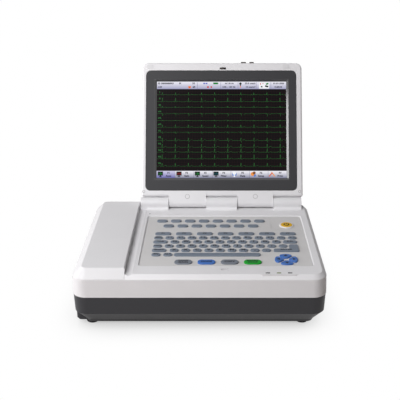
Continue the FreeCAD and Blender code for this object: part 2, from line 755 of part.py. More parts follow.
def bevelled_case(rise):
    """The upper case as one solid: its walls, and a bevelled top over a soft shoulder."""
    walls = loft([
        case_outline(SEAM_Z, -UPPER_WALL_DRAFT, BASE_CORNER + UPPER_WALL_DRAFT),
        case_outline(WALL_TOP_Z, 0, BASE_CORNER),
    ])
    top = loft([
        case_outline(WALL_TOP_Z, 0, BASE_CORNER),
        case_outline(WALL_TOP_Z + rise, rise, BASE_CORNER - rise),
    ])
    body = fuse([walls, top])
    return body.makeFillet(SHOULDER_EDGE, rim(body, WALL_TOP_Z))


def bevel_hollow(wall, rise):
    """The space under a bevelled top, one wall in from it."""
    return loft([
        case_outline(WALL_TOP_Z - PAST, wall - PAST, BASE_CORNER - wall),
        case_outline(WALL_TOP_Z + rise, wall + rise, BASE_CORNER - wall - rise),
    ])


def hinge_barrel(x0, x1):
    """One fixed hinge barrel: a round back on the axis and a hollow ramp down to the deck."""
    reach = math.sqrt((BARREL_FOOT + BARREL_RADIUS) ** 2 - (HINGE_RISE - BARREL_FOOT) ** 2)
    foot_y = HINGE_Y - reach
    foot_centre = Vector(x0, foot_y, DECK_Z + BARREL_FOOT)
    axis = Vector(x0, HINGE_Y, HINGE_Z)
    towards = (axis - foot_centre).normalize()
    meet = foot_centre + towards * BARREL_FOOT
    start = Vector(x0, foot_y, DECK_Z)
    hollow = (towards + Vector(0, 0, -1)).normalize()
    crown = Vector(x0, HINGE_Y, HINGE_Z + BARREL_RADIUS)
    back = Vector(x0, HINGE_Y + BARREL_RADIUS, HINGE_Z)
    back_foot = Vector(x0, HINGE_Y + BARREL_RADIUS, DECK_UNDER_Z)
    front_foot = Vector(x0, foot_y, DECK_UNDER_Z)
    outline = Part.Wire([
        Part.Arc(start, foot_centre + hollow * BARREL_FOOT, meet).toShape(),
        Part.Arc(meet, crown, back).toShape(),
        Part.LineSegment(back, back_foot).toShape(),
        Part.LineSegment(back_foot, front_foot).toShape(),
        Part.LineSegment(front_foot, start).toShape(),
    ])
    return Part.Face(outline).extrude(Vector(x1 - x0, 0, 0))


def led_scoop():
    """The lip under the lamps, which carries the deck forward over the bevel."""
    front = DECK_RISE - SCOOP_REACH
    left = LED_PLACES[0] - SCOOP_MARGIN
    right = LED_PLACES[-1] + SCOOP_MARGIN
    back = DECK_RISE + PAST
    outline = [(left, back), (left + SCOOP_TAPER, front), (right - SCOOP_TAPER, front), (right, back)]
    return prism([Vector(x, y, WALL_TOP_Z) for x, y in outline], Vector(0, 0, DECK_RISE))


def cover_rails():
    """Two ledges along the walls that hold the cover's legs, rounded with the case's corners."""
    left = CASE_WALL + PAST - HALF_WIDTH
    back = BASE_DEPTH - CASE_WALL
    inset = CASE_WALL / 2
    outline = slab(inset - HALF_WIDTH, HALF_WIDTH - inset, inset, BASE_DEPTH - inset,
                   RAIL_Z, RAIL_TOP_Z, BASE_CORNER - inset)
    rails = [
        box(left, COVER_RIGHT, CASE_WALL - PAST, CASE_WALL + RAIL_WIDTH, RAIL_Z, RAIL_TOP_Z),
        box(left, COVER_RIGHT, back - RAIL_WIDTH, back + PAST, RAIL_Z, RAIL_TOP_Z),
    ]
    return [rail.common(outline) for rail in rails]


def screw_web(x, y):
    """A web that joins a screw boss to the nearest wall of the upper case."""
    half = WEB_THICKNESS / 2
    low = SEAM_Z + WEB_RISE
    top = SEAM_Z + BOSS_HEIGHT
    if HALF_WIDTH - x < min(y, BASE_DEPTH - y):
        return box(x, HALF_WIDTH - PAST, y - half, y + half, low, top)
    if y < BASE_DEPTH / 2:
        return box(x - half, x + half, PAST, y, low, top)
    return box(x - half, x + half, y, BASE_DEPTH - PAST, low, top)


def top_case():
    under_cover = box(-HALF_WIDTH - PAST, DECK_LEFT, -PAST, BASE_DEPTH + PAST, WALL_TOP_Z, DECK_Z + PAST)
    hollow = slab(CASE_WALL - HALF_WIDTH, HALF_WIDTH - CASE_WALL, CASE_WALL, BASE_DEPTH - CASE_WALL,
                  SEAM_Z - PAST, WALL_TOP_Z, HOLLOW_CORNER)
    under_deck = bevel_hollow(BEVEL_WALL, DECK_RISE - DECK_WALL)
    under_deck = under_deck.common(box(DECK_LEFT + CASE_WALL, HALF_WIDTH, 0, BASE_DEPTH, 0, DECK_UNDER_Z))
    shell = bevelled_case(DECK_RISE)
    shell = shell.makeFillet(DECK_EDGE, rim(shell, DECK_Z)).cut([under_cover, hollow, under_deck])
    valley_bed = box(DECK_LEFT, RECESS_LEFT - PANEL_LIP - GAP, DECK_RISE + DECK_WALL,
                     BASE_DEPTH - DECK_RISE - DECK_WALL, DECK_UNDER_Z - DECK_WALL, DECK_UNDER_Z + PAST)
    barrels = [hinge_barrel(SCREEN_X + left, SCREEN_X + right) for left, right in BARREL_SPANS]
    bosses = []
    for x, y in SCREW_PLACES:
        bosses.append(rod(SCREW_POST_RADIUS, (x, y, SEAM_Z), (x, y, SEAM_Z + BOSS_HEIGHT)))
        bosses.append(screw_web(x, y))
    shell = fuse([shell, valley_bed, led_scoop()] + barrels + cover_rails() + bosses)
    return cut(shell, deck_openings() + hinge_cuts() + wall_openings())


def deck_openings():
    """What is cut through or into the deck."""
    valley_x = DECK_LEFT + VALLEY_WIDTH / 2
    valley_z = DECK_Z + VALLEY_RADIUS - VALLEY_DEPTH
    bevel_z = DECK_Z - RECESS_BEVEL
    recess_edge = loft([
        rounded_wire(RECESS_LEFT, RECESS_RIGHT, RECESS_FRONT, RECESS_BACK, bevel_z, RECESS_CORNER),
        rounded_wire(RECESS_LEFT - RECESS_BEVEL, RECESS_RIGHT + RECESS_BEVEL, RECESS_FRONT - RECESS_BEVEL,
                     RECESS_BACK + RECESS_BEVEL, DECK_Z, RECESS_CORNER + RECESS_BEVEL),
    ])
    microphone_y = RECESS_BACK + MICROPHONE_BACK_IN
    return [
        rod(VALLEY_RADIUS, (valley_x, -PAST, valley_z), (valley_x, HINGE_Y - BARREL_RADIUS, valley_z)),
        slab(RECESS_LEFT, RECESS_RIGHT, RECESS_FRONT, RECESS_BACK, DECK_UNDER_Z - 2 * DECK_WALL, DECK_Z + PAST,
             RECESS_CORNER),
        recess_edge,
        catch_block(SEAT, DECK_UNDER_Z - PAST, DECK_Z + PAST),
        rod(MICROPHONE_RADIUS, (RECESS_LEFT + PAST, microphone_y, DECK_UNDER_Z - PAST),
            (RECESS_LEFT + PAST, microphone_y, DECK_Z + PAST)),
    ] + [led_lens(x, SEAT) for x in LED_PLACES]


def hinge_cuts():
    """The bore for the hinge pins, and a shallow trough under each of the lid's knuckles."""
    first = SCREEN_X + BARREL_SPANS[0][0] + PIN_END
    last = SCREEN_X + BARREL_SPANS[-1][1] - PIN_END
    cuts = [rod(HINGE_PIN_RADIUS + FIT, (first, HINGE_Y, HINGE_Z), (last, HINGE_Y, HINGE_Z))]
    for left, right in KNUCKLE_SPANS:
        cuts.append(rod(TROUGH_RADIUS, (SCREEN_X + left - KNUCKLE_PLAY, HINGE_Y, HINGE_Z),
                        (SCREEN_X + right + KNUCKLE_PLAY, HINGE_Y, HINGE_Z)))
    return cuts


def wall_openings():
    """The paper slot in the left wall, and the screws' pilot holes."""
    cuts = [box(-HALF_WIDTH - PAST, CASE_WALL + PAST - HALF_WIDTH, ROLL_START - PAPER_SLOT_MARGIN,
                ROLL_END + PAPER_SLOT_MARGIN, WALL_TOP_Z - PAPER_SLOT_HEIGHT, WALL_TOP_Z + PAST)]
    for x, y in SCREW_PLACES:
        cuts.append(rod(SCREW_RADIUS + FIT, (x, y, SEAM_Z - PAST), (x, y, SEAM_Z + BOSS_HEIGHT - BOSS_ROOF)))
    return cuts


def led_lens(x, play):
    half_w = LED_WIDTH / 2 + play
    half_d = LED_DEPTH / 2 + play
    return slab(x - half_w, x + half_w, LED_Y - half_d, LED_Y + half_d, DECK_UNDER_Z - LED_SINK,
                DECK_Z + LED_PROUD, LED_CORNER)


def led_lenses():
    return group([led_lens(x, 0) for x in LED_PLACES])


def catch_block(grow, z0, z1):
    half_w = CATCH_WIDTH / 2 + grow
    half_d = CATCH_DEPTH / 2 + grow
    return slab(CATCH_X - half_w, CATCH_X + half_w, CATCH_Y - half_d, CATCH_Y + half_d, z0, z1, CATCH_CORNER)


def catch_plate():
    """A cup in the deck with a slot that the lid's latch hooks into."""
    cup = catch_block(0, DECK_UNDER_Z - CATCH_CUP, DECK_Z)
    lip = catch_block(CATCH_LIP, DECK_UNDER_Z - CATCH_CUP, DECK_UNDER_Z)
    half_w = LATCH_WIDTH / 2 + LATCH_SLOT_RIM
    half_d = LATCH_HEIGHT / 2 + LATCH_SLOT_RIM
    slot = box(CATCH_X - half_w, CATCH_X + half_w + LATCH_TRAVEL, CATCH_Y - half_d, CATCH_Y + half_d,
               DECK_UNDER_Z - CATCH_CUP + CATCH_FLOOR, DECK_Z + PAST)
    return fuse([cup, lip]).cut(slot)


def hinge_pins():
    first = SCREEN_X + BARREL_SPANS[0][0] + PIN_END
    last = SCREEN_X + BARREL_SPANS[-1][1] - PIN_END
    ends = ((first, SCREEN_X - PIN_MIDDLE), (SCREEN_X + PIN_MIDDLE, last))
    return group([rod(HINGE_PIN_RADIUS, (a, HINGE_Y, HINGE_Z), (b, HINGE_Y, HINGE_Z)) for a, b in ends])


# Recorder cover

def recorder_cover():
    """The raised cover, open underneath, with room for the print head under its right wall."""
    body = bevelled_case(COVER_RISE)
    body = body.common(box(-HALF_WIDTH, COVER_RIGHT, 0, BASE_DEPTH, WALL_TOP_Z + GAP, COVER_Z))
    body = body.makeFillet(COVER_EDGE, rim(body, COVER_Z))
    inside = bevel_hollow(COVER_WALL * math.sqrt(2), COVER_RISE - COVER_WALL)
    inside = inside.common(box(-HALF_WIDTH, COVER_RIGHT - COVER_WALL, 0, BASE_DEPTH, 0, COVER_Z))
    passage = box(COVER_RIGHT - COVER_WALL - PAST, COVER_RIGHT + PAST, FRAME_FRONT - GAP, FRAME_BACK + GAP,
                  WALL_TOP_Z, HEAD_TOP_Z + 2 * GAP)
    body = body.cut([inside, passage])
    return fuse([body] + cover_legs())


def cover_legs():
    """Two hooked legs that hold the cover down on its rails."""
    legs = []
    left = COVER_RIGHT - LEG_WIDTH
    right = COVER_RIGHT - COVER_WALL
    near = CASE_WALL + RAIL_WIDTH + GAP
    far = near + LEG_THICKNESS
    top = WALL_TOP_Z + near - COVER_WALL / 4
    toe_top = RAIL_Z - GAP
    toe_z = toe_top - LEG_THICKNESS
    for mirror in (False, True):
        def span(a, b):
            return (BASE_DEPTH - b, BASE_DEPTH - a) if mirror else (a, b)

        legs.append(box(left, right, *span(near, far), toe_z, top))
        legs.append(box(left, right, *span(near - TOE_REACH, far), toe_z, toe_top))
    return legs


# Keyboard

def even_row(first_in, pitch, count, width):
    return [(RECESS_LEFT + first_in + pitch * i, width) for i in range(count)]


LEFT_WIDE_KEY = (RECESS_LEFT + WIDE_IN, WIDE_KEY_WIDTH)
RIGHT_WIDE_KEY = (RECESS_RIGHT - WIDE_IN, WIDE_KEY_WIDTH)
KEY_ROWS = {
    "rear_soft_keys": (REAR_SOFT_ROW, even_row(REAR_SOFT_IN, SOFT_KEY_PITCH, REAR_SOFT_COUNT, SOFT_KEY_WIDTH)),
    "front_soft_keys": (FRONT_SOFT_ROW, even_row(FRONT_SOFT_IN, SOFT_KEY_PITCH, FRONT_SOFT_COUNT,
                                                 SOFT_KEY_WIDTH)),
    "preset_keys": (PRESET_ROW, even_row(PRESET_IN, PRESET_KEY_PITCH, PRESET_COUNT, PRESET_KEY_WIDTH)),
    "number_keys": (NUMBER_ROW, even_row(NUMBER_IN, KEY_PITCH, NUMBER_COUNT, KEY_WIDTH)),
    "upper_letter_keys": (UPPER_ROW, even_row(UPPER_IN, KEY_PITCH, UPPER_COUNT, KEY_WIDTH)
                          + [LEFT_WIDE_KEY, RIGHT_WIDE_KEY]),
    "middle_letter_keys": (MIDDLE_ROW, even_row(MIDDLE_IN, KEY_PITCH, MIDDLE_COUNT, KEY_WIDTH)),
    "lower_letter_keys": (LOWER_ROW, even_row(LOWER_IN, KEY_PITCH, LOWER_COUNT, KEY_WIDTH) + [LEFT_WIDE_KEY]),
    "modifier_keys": (SPACE_ROW, even_row(MODIFIER_IN, KEY_PITCH, MODIFIER_COUNT, KEY_WIDTH)),
}


def stadium(x, y, width, depth, z0, z1, grow):
    """A round-ended key outline, grown evenly."""
    half_w = width / 2 + grow
    half_d = depth / 2 + grow
    return slab(x - half_w, x + half_w, y - half_d, y + half_d, z0, z1, min(half_w, half_d) * KEY_ROUND)


def enter_outline(z0, z1, grow):
    """The enter key: a wide foot with a narrower upper half on its right."""
    half = KEY_DEPTH / 2 + grow
    right = ENTER_RIGHT + grow
    corner = ENTER_CORNER + grow
    low = slab(ENTER_RIGHT - ENTER_WIDTH - grow, right, LOWER_ROW - half, LOWER_ROW + half, z0, z1, corner)
    high = slab(ENTER_RIGHT - ENTER_UPPER_WIDTH - grow, right, LOWER_ROW - half, MIDDLE_ROW + half, z0, z1, corner)
    return fuse([low, high])


def arrow_outline(index, z0, z1, grow):
    """One of the four sectors of the arrow pad, split by two crossed gaps."""
    ring = Part.makeCylinder(ARROW_PAD_RADIUS + grow, z1 - z0, Vector(ARROW_X, ARROW_ROW, z0))
    hole = Part.makeCylinder(ARROW_PAD_HOLE - grow, z1 - z0, Vector(ARROW_X, ARROW_ROW, z0))
    tip = (ARROW_GAP / 2 - grow) * math.sqrt(2)
    reach = 2 * ARROW_PAD_RADIUS
    corners = [Vector(tip, 0, z0), Vector(tip + reach, -reach, z0), Vector(tip + reach, reach, z0)]
    wedge = prism(corners, Vector(0, 0, z1 - z0))
    wedge.rotate(Vector(0, 0, 0), Vector(0, 0, 1), 90 * index)
    wedge.translate(Vector(ARROW_X, ARROW_ROW, 0))
    sector = ring.cut(hole).common(wedge)
    for radius, outer in ((ARROW_CORNER, True), (ARROW_INNER_CORNER, False)):
        sector = sector.makeFillet(radius + grow, sector_corners(sector, outer))
    return sector


def sector_corners(sector, outer):
    """The upright edges of an arrow key that lie near the pad's rim, or near its middle."""
    between = (ARROW_PAD_RADIUS + ARROW_PAD_HOLE) / 2
    edges = []
    for edge in sector.Edges:
        ends = [v.Point for v in edge.Vertexes]
        if len(ends) == 2 and ends[0].x == ends[1].x and ends[0].y == ends[1].y:
            far = math.hypot(ends[0].x - ARROW_X, ends[0].y - ARROW_ROW) > between
            if far == outer:
                edges.append(edge)
    return edges


def power_outline(z0, z1, grow):
    return Part.makeCylinder(POWER_KEY_RADIUS + grow, z1 - z0, Vector(POWER_X, POWER_ROW, z0))


def key_outlines():
    """Every key's name, with a list of outline functions of z0, z1 and grow."""
    keys = {}
    for name, (row, places) in KEY_ROWS.items():
        keys[name] = [lambda z0, z1, grow, x=x, w=w, y=row: stadium(x, y, w, KEY_DEPTH, z0, z1, grow)
                      for x, w in places]
    for i, name in enumerate(FUNCTION_NAMES):
        x = RECESS_LEFT + FUNCTION_IN + FUNCTION_KEY_PITCH * i
        keys[name] = [lambda z0, z1, grow, x=x: stadium(x, FUNCTION_ROW, FUNCTION_KEY_WIDTH,
                                                        FUNCTION_KEY_DEPTH, z0, z1, grow)]
    keys["space_bar"] = [lambda z0, z1, grow: stadium(SPACE_X, SPACE_ROW, SPACE_WIDTH, KEY_DEPTH, z0, z1, grow)]
    keys["enter_key"] = [enter_outline]
    keys["power_key"] = [power_outline]
    for i, name in enumerate(ARROW_NAMES):
        keys[name] = [lambda z0, z1, grow, i=i: arrow_outline(i, z0, z1, grow)]
    return keys


def key_cap(outline):
    cap = outline(FLANGE_TOP_Z, KEY_TOP_Z, 0)
    cap = cap.makeFillet(KEY_EDGE, rim(cap, KEY_TOP_Z))
    flange = outline(FLANGE_Z, FLANGE_TOP_Z, KEY_FLANGE)
    return fuse([cap, flange])


def panel_posts():
    xs = (RECESS_LEFT + POST_INSET, (RECESS_LEFT + RECESS_RIGHT) / 2, RECESS_RIGHT - POST_INSET)
    ys = (RECESS_FRONT - PANEL_LIP / 2, RECESS_BACK + PANEL_LIP / 2)
    return [(x, y) for x in xs for y in ys]


def under_deck_plate(z0, z1, corner):
    """A plate as large as the recess and the lip round it."""
    return slab(RECESS_LEFT - PANEL_LIP, RECESS_RIGHT + PANEL_LIP, RECESS_FRONT - PANEL_LIP,
                RECESS_BACK + PANEL_LIP, z0, z1, corner)


def keyboard_panel():
    plate = under_deck_plate(PANEL_UNDER_Z, PANEL_Z, RECESS_CORNER)
    field = slab(RECESS_LEFT + GAP, RECESS_RIGHT - GAP, RECESS_FRONT + GAP, RECESS_BACK - GAP, PANEL_UNDER_Z,
                 PANEL_FACE_Z, RECESS_CORNER - GAP)
    posts = [rod(POST_RADIUS, (x, y, BOARD_TOP_Z), (x, y, PANEL_UNDER_Z)) for x, y in panel_posts()]
    holes = []
    for outlines in key_outlines().values():
        holes += [outline(PANEL_UNDER_Z - PAST, PANEL_FACE_Z + PAST, GAP) for outline in outlines]
    half = GROOVE_WIDTH / 2
    groove_z = PANEL_FACE_Z - GROOVE_DEPTH
    holes.append(box(GROOVE_X - half, GROOVE_X + half, GROOVE_Y - half, RECESS_BACK - GROOVE_MARGIN, groove_z,
                     PANEL_FACE_Z + PAST))
    holes.append(box(GROOVE_X, RECESS_RIGHT - GROOVE_MARGIN, GROOVE_Y - half, GROOVE_Y + half, groove_z,
                     PANEL_FACE_Z + PAST))
    return cut(fuse([plate, field] + posts), holes)


def keypad_mat():
    return slab(RECESS_LEFT + GAP, RECESS_RIGHT - GAP, RECESS_FRONT + POST_RADIUS, RECESS_BACK - POST_RADIUS,
                BOARD_TOP_Z, MAT_TOP_Z, BOARD_CORNER)


def keyboard_board():
    return under_deck_plate(BOARD_TOP_Z - BOARD_THICKNESS, BOARD_TOP_Z, BOARD_CORNER)


def power_ring():
    top = PANEL_FACE_Z + POWER_RING_RISE
    outer = power_outline(PANEL_FACE_Z, top, POWER_RING_WIDTH)
    outer = outer.makeFillet(POWER_RING_EDGE, rim(outer, top))
    return outer.cut(power_outline(PANEL_FACE_Z - PAST, top + PAST, GAP))


# Electronics in the lower case

def board_stands():
    xs = (MAIN_BOARD_LEFT + STANDOFF_INSET, MAIN_BOARD_RIGHT - STANDOFF_INSET)
    ys = (MAIN_BOARD_FRONT + STANDOFF_INSET, MAIN_BOARD_BACK - STANDOFF_INSET)
    return [(x, y) for x in xs for y in ys]


def main_board():
    """The main circuit board with its processor, shield can and plug header."""
    top = MAIN_BOARD_Z + BOARD_THICKNESS
    board = slab(MAIN_BOARD_LEFT, MAIN_BOARD_RIGHT, MAIN_BOARD_FRONT, MAIN_BOARD_BACK, MAIN_BOARD_Z, top,
                 BOARD_CORNER)
    shield_x = MAIN_BOARD_LEFT + SHIELD_INSET
    shield_y = MAIN_BOARD_FRONT + SHIELD_INSET
    shield = slab(shield_x, shield_x + SHIELD_WIDTH, shield_y, shield_y + SHIELD_DEPTH, top, top + SHIELD_HEIGHT,
                  SHIELD_CORNER)
    chip_x = MAIN_BOARD_RIGHT - PROCESSOR_INSET
    chip_y = MAIN_BOARD_BACK - PROCESSOR_INSET
    processor = box(chip_x - PROCESSOR_SIZE, chip_x, chip_y - PROCESSOR_SIZE, chip_y, top, top + PROCESSOR_HEIGHT)
    header_x = MAIN_BOARD_LEFT + HEADER_INSET
    header_y = MAIN_BOARD_BACK - HEADER_BACK
    header = box(header_x, header_x + HEADER_LENGTH, header_y - HEADER_DEPTH, header_y, top, top + HEADER_HEIGHT)
    return fuse([board, shield, processor, header])


def power_supply():
    return slab(SUPPLY_LEFT, SUPPLY_LEFT + SUPPLY_LENGTH, SUPPLY_BACK - SUPPLY_DEPTH, SUPPLY_BACK, FLOOR_Z,
                FLOOR_Z + SUPPLY_HEIGHT, SUPPLY_CORNER)


def battery_pack():
    return slab(BATTERY_LEFT, BATTERY_LEFT + BATTERY_LENGTH, BATTERY_FRONT, BATTERY_BACK, FLOOR_Z,
                FLOOR_Z + BATTERY_HEIGHT, BATTERY_CORNER)


def battery_door_outline(z0, z1, grow):
    margin = DOOR_MARGIN + grow
    return slab(BATTERY_LEFT - margin, BATTERY_LEFT + BATTERY_LENGTH + margin, BATTERY_FRONT - margin,
                BATTERY_BACK + margin, z0, z1, BATTERY_CORNER + margin)


def battery_door():
    """The door under the battery, with a shallow finger pull."""
    pull_x = BATTERY_LEFT + PULL_INSET
    pull_y = BATTERY_FRONT + PULL_INSET
    pull = slab(pull_x, pull_x + PULL_LENGTH, pull_y, pull_y + PULL_WIDTH, FOOT_HEIGHT - PAST,
                FOOT_HEIGHT + PULL_DEPTH, PULL_CORNER)
    return battery_door_outline(FOOT_HEIGHT, FLOOR_Z, 0).cut(pull)


def speaker():
    centre = Vector(SPEAKER_X, SPEAKER_Y, FLOOR_Z)
    basket = Part.makeCone(SPEAKER_NECK_RADIUS, SPEAKER_RADIUS, SPEAKER_BASKET_HEIGHT, centre)
    magnet = Part.makeCylinder(SPEAKER_MAGNET_RADIUS, SPEAKER_MAGNET_HEIGHT, centre)
    rim_z = FLOOR_Z + SPEAKER_BASKET_HEIGHT
    rim_ring = rod(SPEAKER_RADIUS, (SPEAKER_X, SPEAKER_Y, rim_z), (SPEAKER_X, SPEAKER_Y, rim_z + SPEAKER_RIM_HEIGHT))
    return fuse([basket, magnet, rim_ring])


# Sockets

def rear_block(x, width, height, front, back):
    """A block in the rear wall, centred at the sockets' height."""
    return box(x - width / 2, x + width / 2, front, back, SOCKET_Z - height / 2, SOCKET_Z + height / 2)


def mains_inlet():
    """A mains inlet with flat blades, set into the rear wall."""
    cavity_front = REAR_FACE - INLET_CAVITY_DEPTH
    face = REAR_FACE + INLET_FLANGE_THICKNESS
    body = rear_block(INLET_X, INLET_WIDTH, INLET_HEIGHT, REAR_FACE - INLET_DEPTH, face)
    flange = rear_block(INLET_X, INLET_WIDTH + 2 * INLET_FLANGE, INLET_HEIGHT + 2 * INLET_FLANGE,
                        REAR_FACE + SEAT, face)
    cavity = rear_block(INLET_X, INLET_WIDTH - 2 * INLET_RIM, INLET_HEIGHT - 2 * INLET_RIM, cavity_front,
                        face + PAST)
    blades = []
    middle = (BLADE_COUNT - 1) / 2
    for i in range(BLADE_COUNT):
        x = INLET_X + (i - middle) * BLADE_SPACING
        low = SOCKET_Z if i == middle else SOCKET_Z - BLADE_HEIGHT
        blades.append(box(x - BLADE_WIDTH / 2, x + BLADE_WIDTH / 2, cavity_front - PAST, REAR_FACE - BLADE_SINK,
                          low, low + BLADE_HEIGHT))
    return fuse([fuse([body, flange]).cut(cavity)] + blades)


def earth_pin():
    """The equipotential pin, with a collar outside the rear wall and its nut inside."""
    tip = REAR_FACE + EARTH_LENGTH
    pin = rod(EARTH_RADIUS, (EARTH_X, REAR_FACE - EARTH_THREAD, SOCKET_Z), (EARTH_X, tip, SOCKET_Z))
    tip_edges = [e for e in pin.Edges if all(abs(v.Y - tip) < 1e-6 for v in e.Vertexes)]
    pin = pin.makeChamfer(EARTH_CHAMFER, tip_edges)
    collar_face = REAR_FACE + SEAT
    collar = rod(EARTH_COLLAR_RADIUS, (EARTH_X, collar_face, SOCKET_Z),
                 (EARTH_X, collar_face + EARTH_COLLAR_THICKNESS, SOCKET_Z))
    inner_face = REAR_FACE - CASE_WALL
    nut = rod(EARTH_NUT_RADIUS, (EARTH_X, inner_face - EARTH_NUT_THICKNESS, SOCKET_Z),
              (EARTH_X, inner_face - SEAT, SOCKET_Z))
    return fuse([pin, collar, nut])


def data_ports():
    """One network socket and one USB socket in a shared housing."""
    left = PORTS_X - PORTS_WIDTH / 2
    body = rear_block(PORTS_X, PORTS_WIDTH, PORTS_HEIGHT, REAR_FACE - PORTS_DEPTH, REAR_FACE)
    lan_x = left + PORTS_MARGIN + LAN_WIDTH / 2
    usb_x = left + PORTS_WIDTH - PORTS_MARGIN - USB_WIDTH / 2
    lan = rear_block(lan_x, LAN_WIDTH, LAN_HEIGHT, REAR_FACE - LAN_DEPTH, REAR_FACE + PAST)
    usb = rear_block(usb_x, USB_WIDTH, USB_HEIGHT, REAR_FACE - USB_DEPTH, REAR_FACE + PAST)
    tongue = rear_block(usb_x, USB_WIDTH - 2 * USB_TONGUE_INSET, USB_TONGUE, REAR_FACE - USB_DEPTH - PAST,
                        REAR_FACE - USB_TONGUE_INSET)
    return fuse([cut(body, [lan, usb]), tongue])


def ecg_connector():
    """The patient-lead socket in the right wall: a block with a D-shaped groove."""
    inner = RIGHT_FACE - ECG_DEPTH
    half_w = ECG_WIDTH / 2
    half_h = ECG_HEIGHT / 2
    body = box(inner, RIGHT_FACE, ECG_Y - half_w, ECG_Y + half_w, SOCKET_Z - half_h, SOCKET_Z + half_h)
    flange_w = half_w + ECG_FLANGE
    flange_h = half_h + ECG_FLANGE
    flange = box(inner - ECG_FLANGE, inner, ECG_Y - flange_w, ECG_Y + flange_w, SOCKET_Z - flange_h,
                 SOCKET_Z + flange_h)

    def d_shape(grow, start, end):
        top = D_TOP_HALF + grow
        base = D_BASE_HALF + grow
        half = D_HALF_HEIGHT + grow
        corners = [(-top, half), (top, half), (base, -half), (-base, -half)]
        return prism([Vector(start, ECG_Y + y, SOCKET_Z + z) for y, z in corners], Vector(end - start, 0, 0))

    bottom = RIGHT_FACE - D_GROOVE_DEPTH
    groove = d_shape(D_GROOVE_WIDTH, bottom, RIGHT_FACE + PAST).cut(d_shape(0, bottom, RIGHT_FACE - D_SINK))
    return cut(fuse([body, flange]), [groove])


# Recorder works

def polar(centre, radius, angle):
    return (centre[0] + radius * math.cos(angle), centre[1] + radius * math.sin(angle))


def mesh_distance(first, second):
    return GEAR_MODULE * (first + second) / 2


def meshed_phase(phase, teeth, other_teeth, line_angle):
    """The turn of a gear whose gap meets a tooth of its neighbour on the line of centres."""
    radius = GEAR_MODULE * teeth / 2
    other = GEAR_MODULE * other_teeth / 2
    offset = (phase - line_angle) * radius + math.pi * GEAR_MODULE / 2
    return line_angle + math.pi - offset / other


IDLER_LINE = math.radians(IDLER_ANGLE)
PINION_LINE = math.radians(PINION_ANGLE)
PLATEN_CENTRE = (PLATEN_X, PLATEN_Z)
IDLER_CENTRE = polar(PLATEN_CENTRE, mesh_distance(PLATEN_TEETH, IDLER_TEETH), IDLER_LINE)
PINION_CENTRE = polar(IDLER_CENTRE, mesh_distance(IDLER_TEETH, PINION_TEETH), PINION_LINE)
PLATEN_PHASE = IDLER_LINE
IDLER_PHASE = meshed_phase(PLATEN_PHASE, PLATEN_TEETH, IDLER_TEETH, IDLER_LINE)
PINION_PHASE = meshed_phase(IDLER_PHASE, IDLER_TEETH, PINION_TEETH, PINION_LINE)


def along(centre, radius, start, end):
    """A rod parallel to the paper roll, at a place on the recorder's side plate."""
    return rod(radius, (centre[0], start, centre[1]), (centre[0], end, centre[1]))


def gear(teeth, centre, phase):
    """A spur gear with involute flanks, flat on the gear plane."""
    pitch_radius = GEAR_MODULE * teeth / 2
    pressure = math.radians(PRESSURE_ANGLE)
    base_radius = pitch_radius * math.cos(pressure)
    tip = pitch_radius + ADDENDUM * GEAR_MODULE
    root = pitch_radius - DEDENDUM * GEAR_MODULE
    half = (math.pi * GEAR_MODULE / 2 - BACKLASH) / (2 * pitch_radius) + math.tan(pressure) - pressure
    start = max(base_radius, root)
    radii = [start + (tip - start) * i / (FLANK_POINTS - 1) for i in range(FLANK_POINTS)]

    def flank_angle(radius):
        roll = math.acos(min(1.0, base_radius / radius))
        return half - (math.tan(roll) - roll)

    def spot(radius, angle):
        x, z = polar(centre, radius, angle)
        return Vector(x, GEAR_Y, z)

    def flank(points):
        curve = Part.BSplineCurve()
        curve.interpolate(points)
        return curve.toShape()

    edges = []
    step = 2 * math.pi / teeth
    for i in range(teeth):
        middle = phase + step * i
        rise = [spot(r, middle - flank_angle(r)) for r in radii]
        fall = [spot(r, middle + flank_angle(r)) for r in reversed(radii)]
        foot_in = spot(root, middle - flank_angle(start))
        foot_out = spot(root, middle + flank_angle(start))
        next_foot = spot(root, middle + step - flank_angle(start))
        edges.append(Part.LineSegment(foot_in, rise[0]).toShape())
        edges.append(flank(rise))
        edges.append(Part.Arc(rise[-1], spot(tip, middle), fall[0]).toShape())
        edges.append(flank(fall))
        edges.append(Part.LineSegment(fall[-1], foot_out).toShape())
        edges.append(Part.Arc(foot_out, spot(root, middle + step / 2), next_foot).toShape())
    return Part.Face(Part.Wire(edges)).extrude(Vector(0, GEAR_WIDTH, 0))


def bored_gear(teeth, centre, phase, bore):
    return gear(teeth, centre, phase).cut(along(centre, bore, GEAR_Y - PAST, GEAR_Y + GEAR_WIDTH + PAST))


def platen_roller():
    start = FRAME_FRONT + FRAME_PLATE + ROLLER_PLAY
    end = FRAME_BACK - FRAME_PLATE - ROLLER_PLAY
    tube = along(PLATEN_CENTRE, PLATEN_RADIUS, start, end)
    return tube.cut(along(PLATEN_CENTRE, PLATEN_SHAFT_RADIUS, start - PAST, end + PAST))


def platen_shaft():
    return along(PLATEN_CENTRE, PLATEN_SHAFT_RADIUS, FRAME_FRONT - SHAFT_END, GEAR_Y + GEAR_WIDTH + AXLE_END)


def platen_gear():
    return bored_gear(PLATEN_TEETH, PLATEN_CENTRE, PLATEN_PHASE, PLATEN_SHAFT_RADIUS)


def idler_gear():
    return bored_gear(IDLER_TEETH, IDLER_CENTRE, IDLER_PHASE, IDLER_AXLE_RADIUS + FIT)


def motor_pinion():
    """The pinion and the motor's shaft, which turn as one."""
    wheel = gear(PINION_TEETH, PINION_CENTRE, PINION_PHASE)
    shaft = along(PINION_CENTRE, MOTOR_SHAFT_RADIUS, GEAR_Y, MOTOR_Y + MOTOR_BORE_DEPTH - AXLE_END)
    return fuse([wheel, shaft])


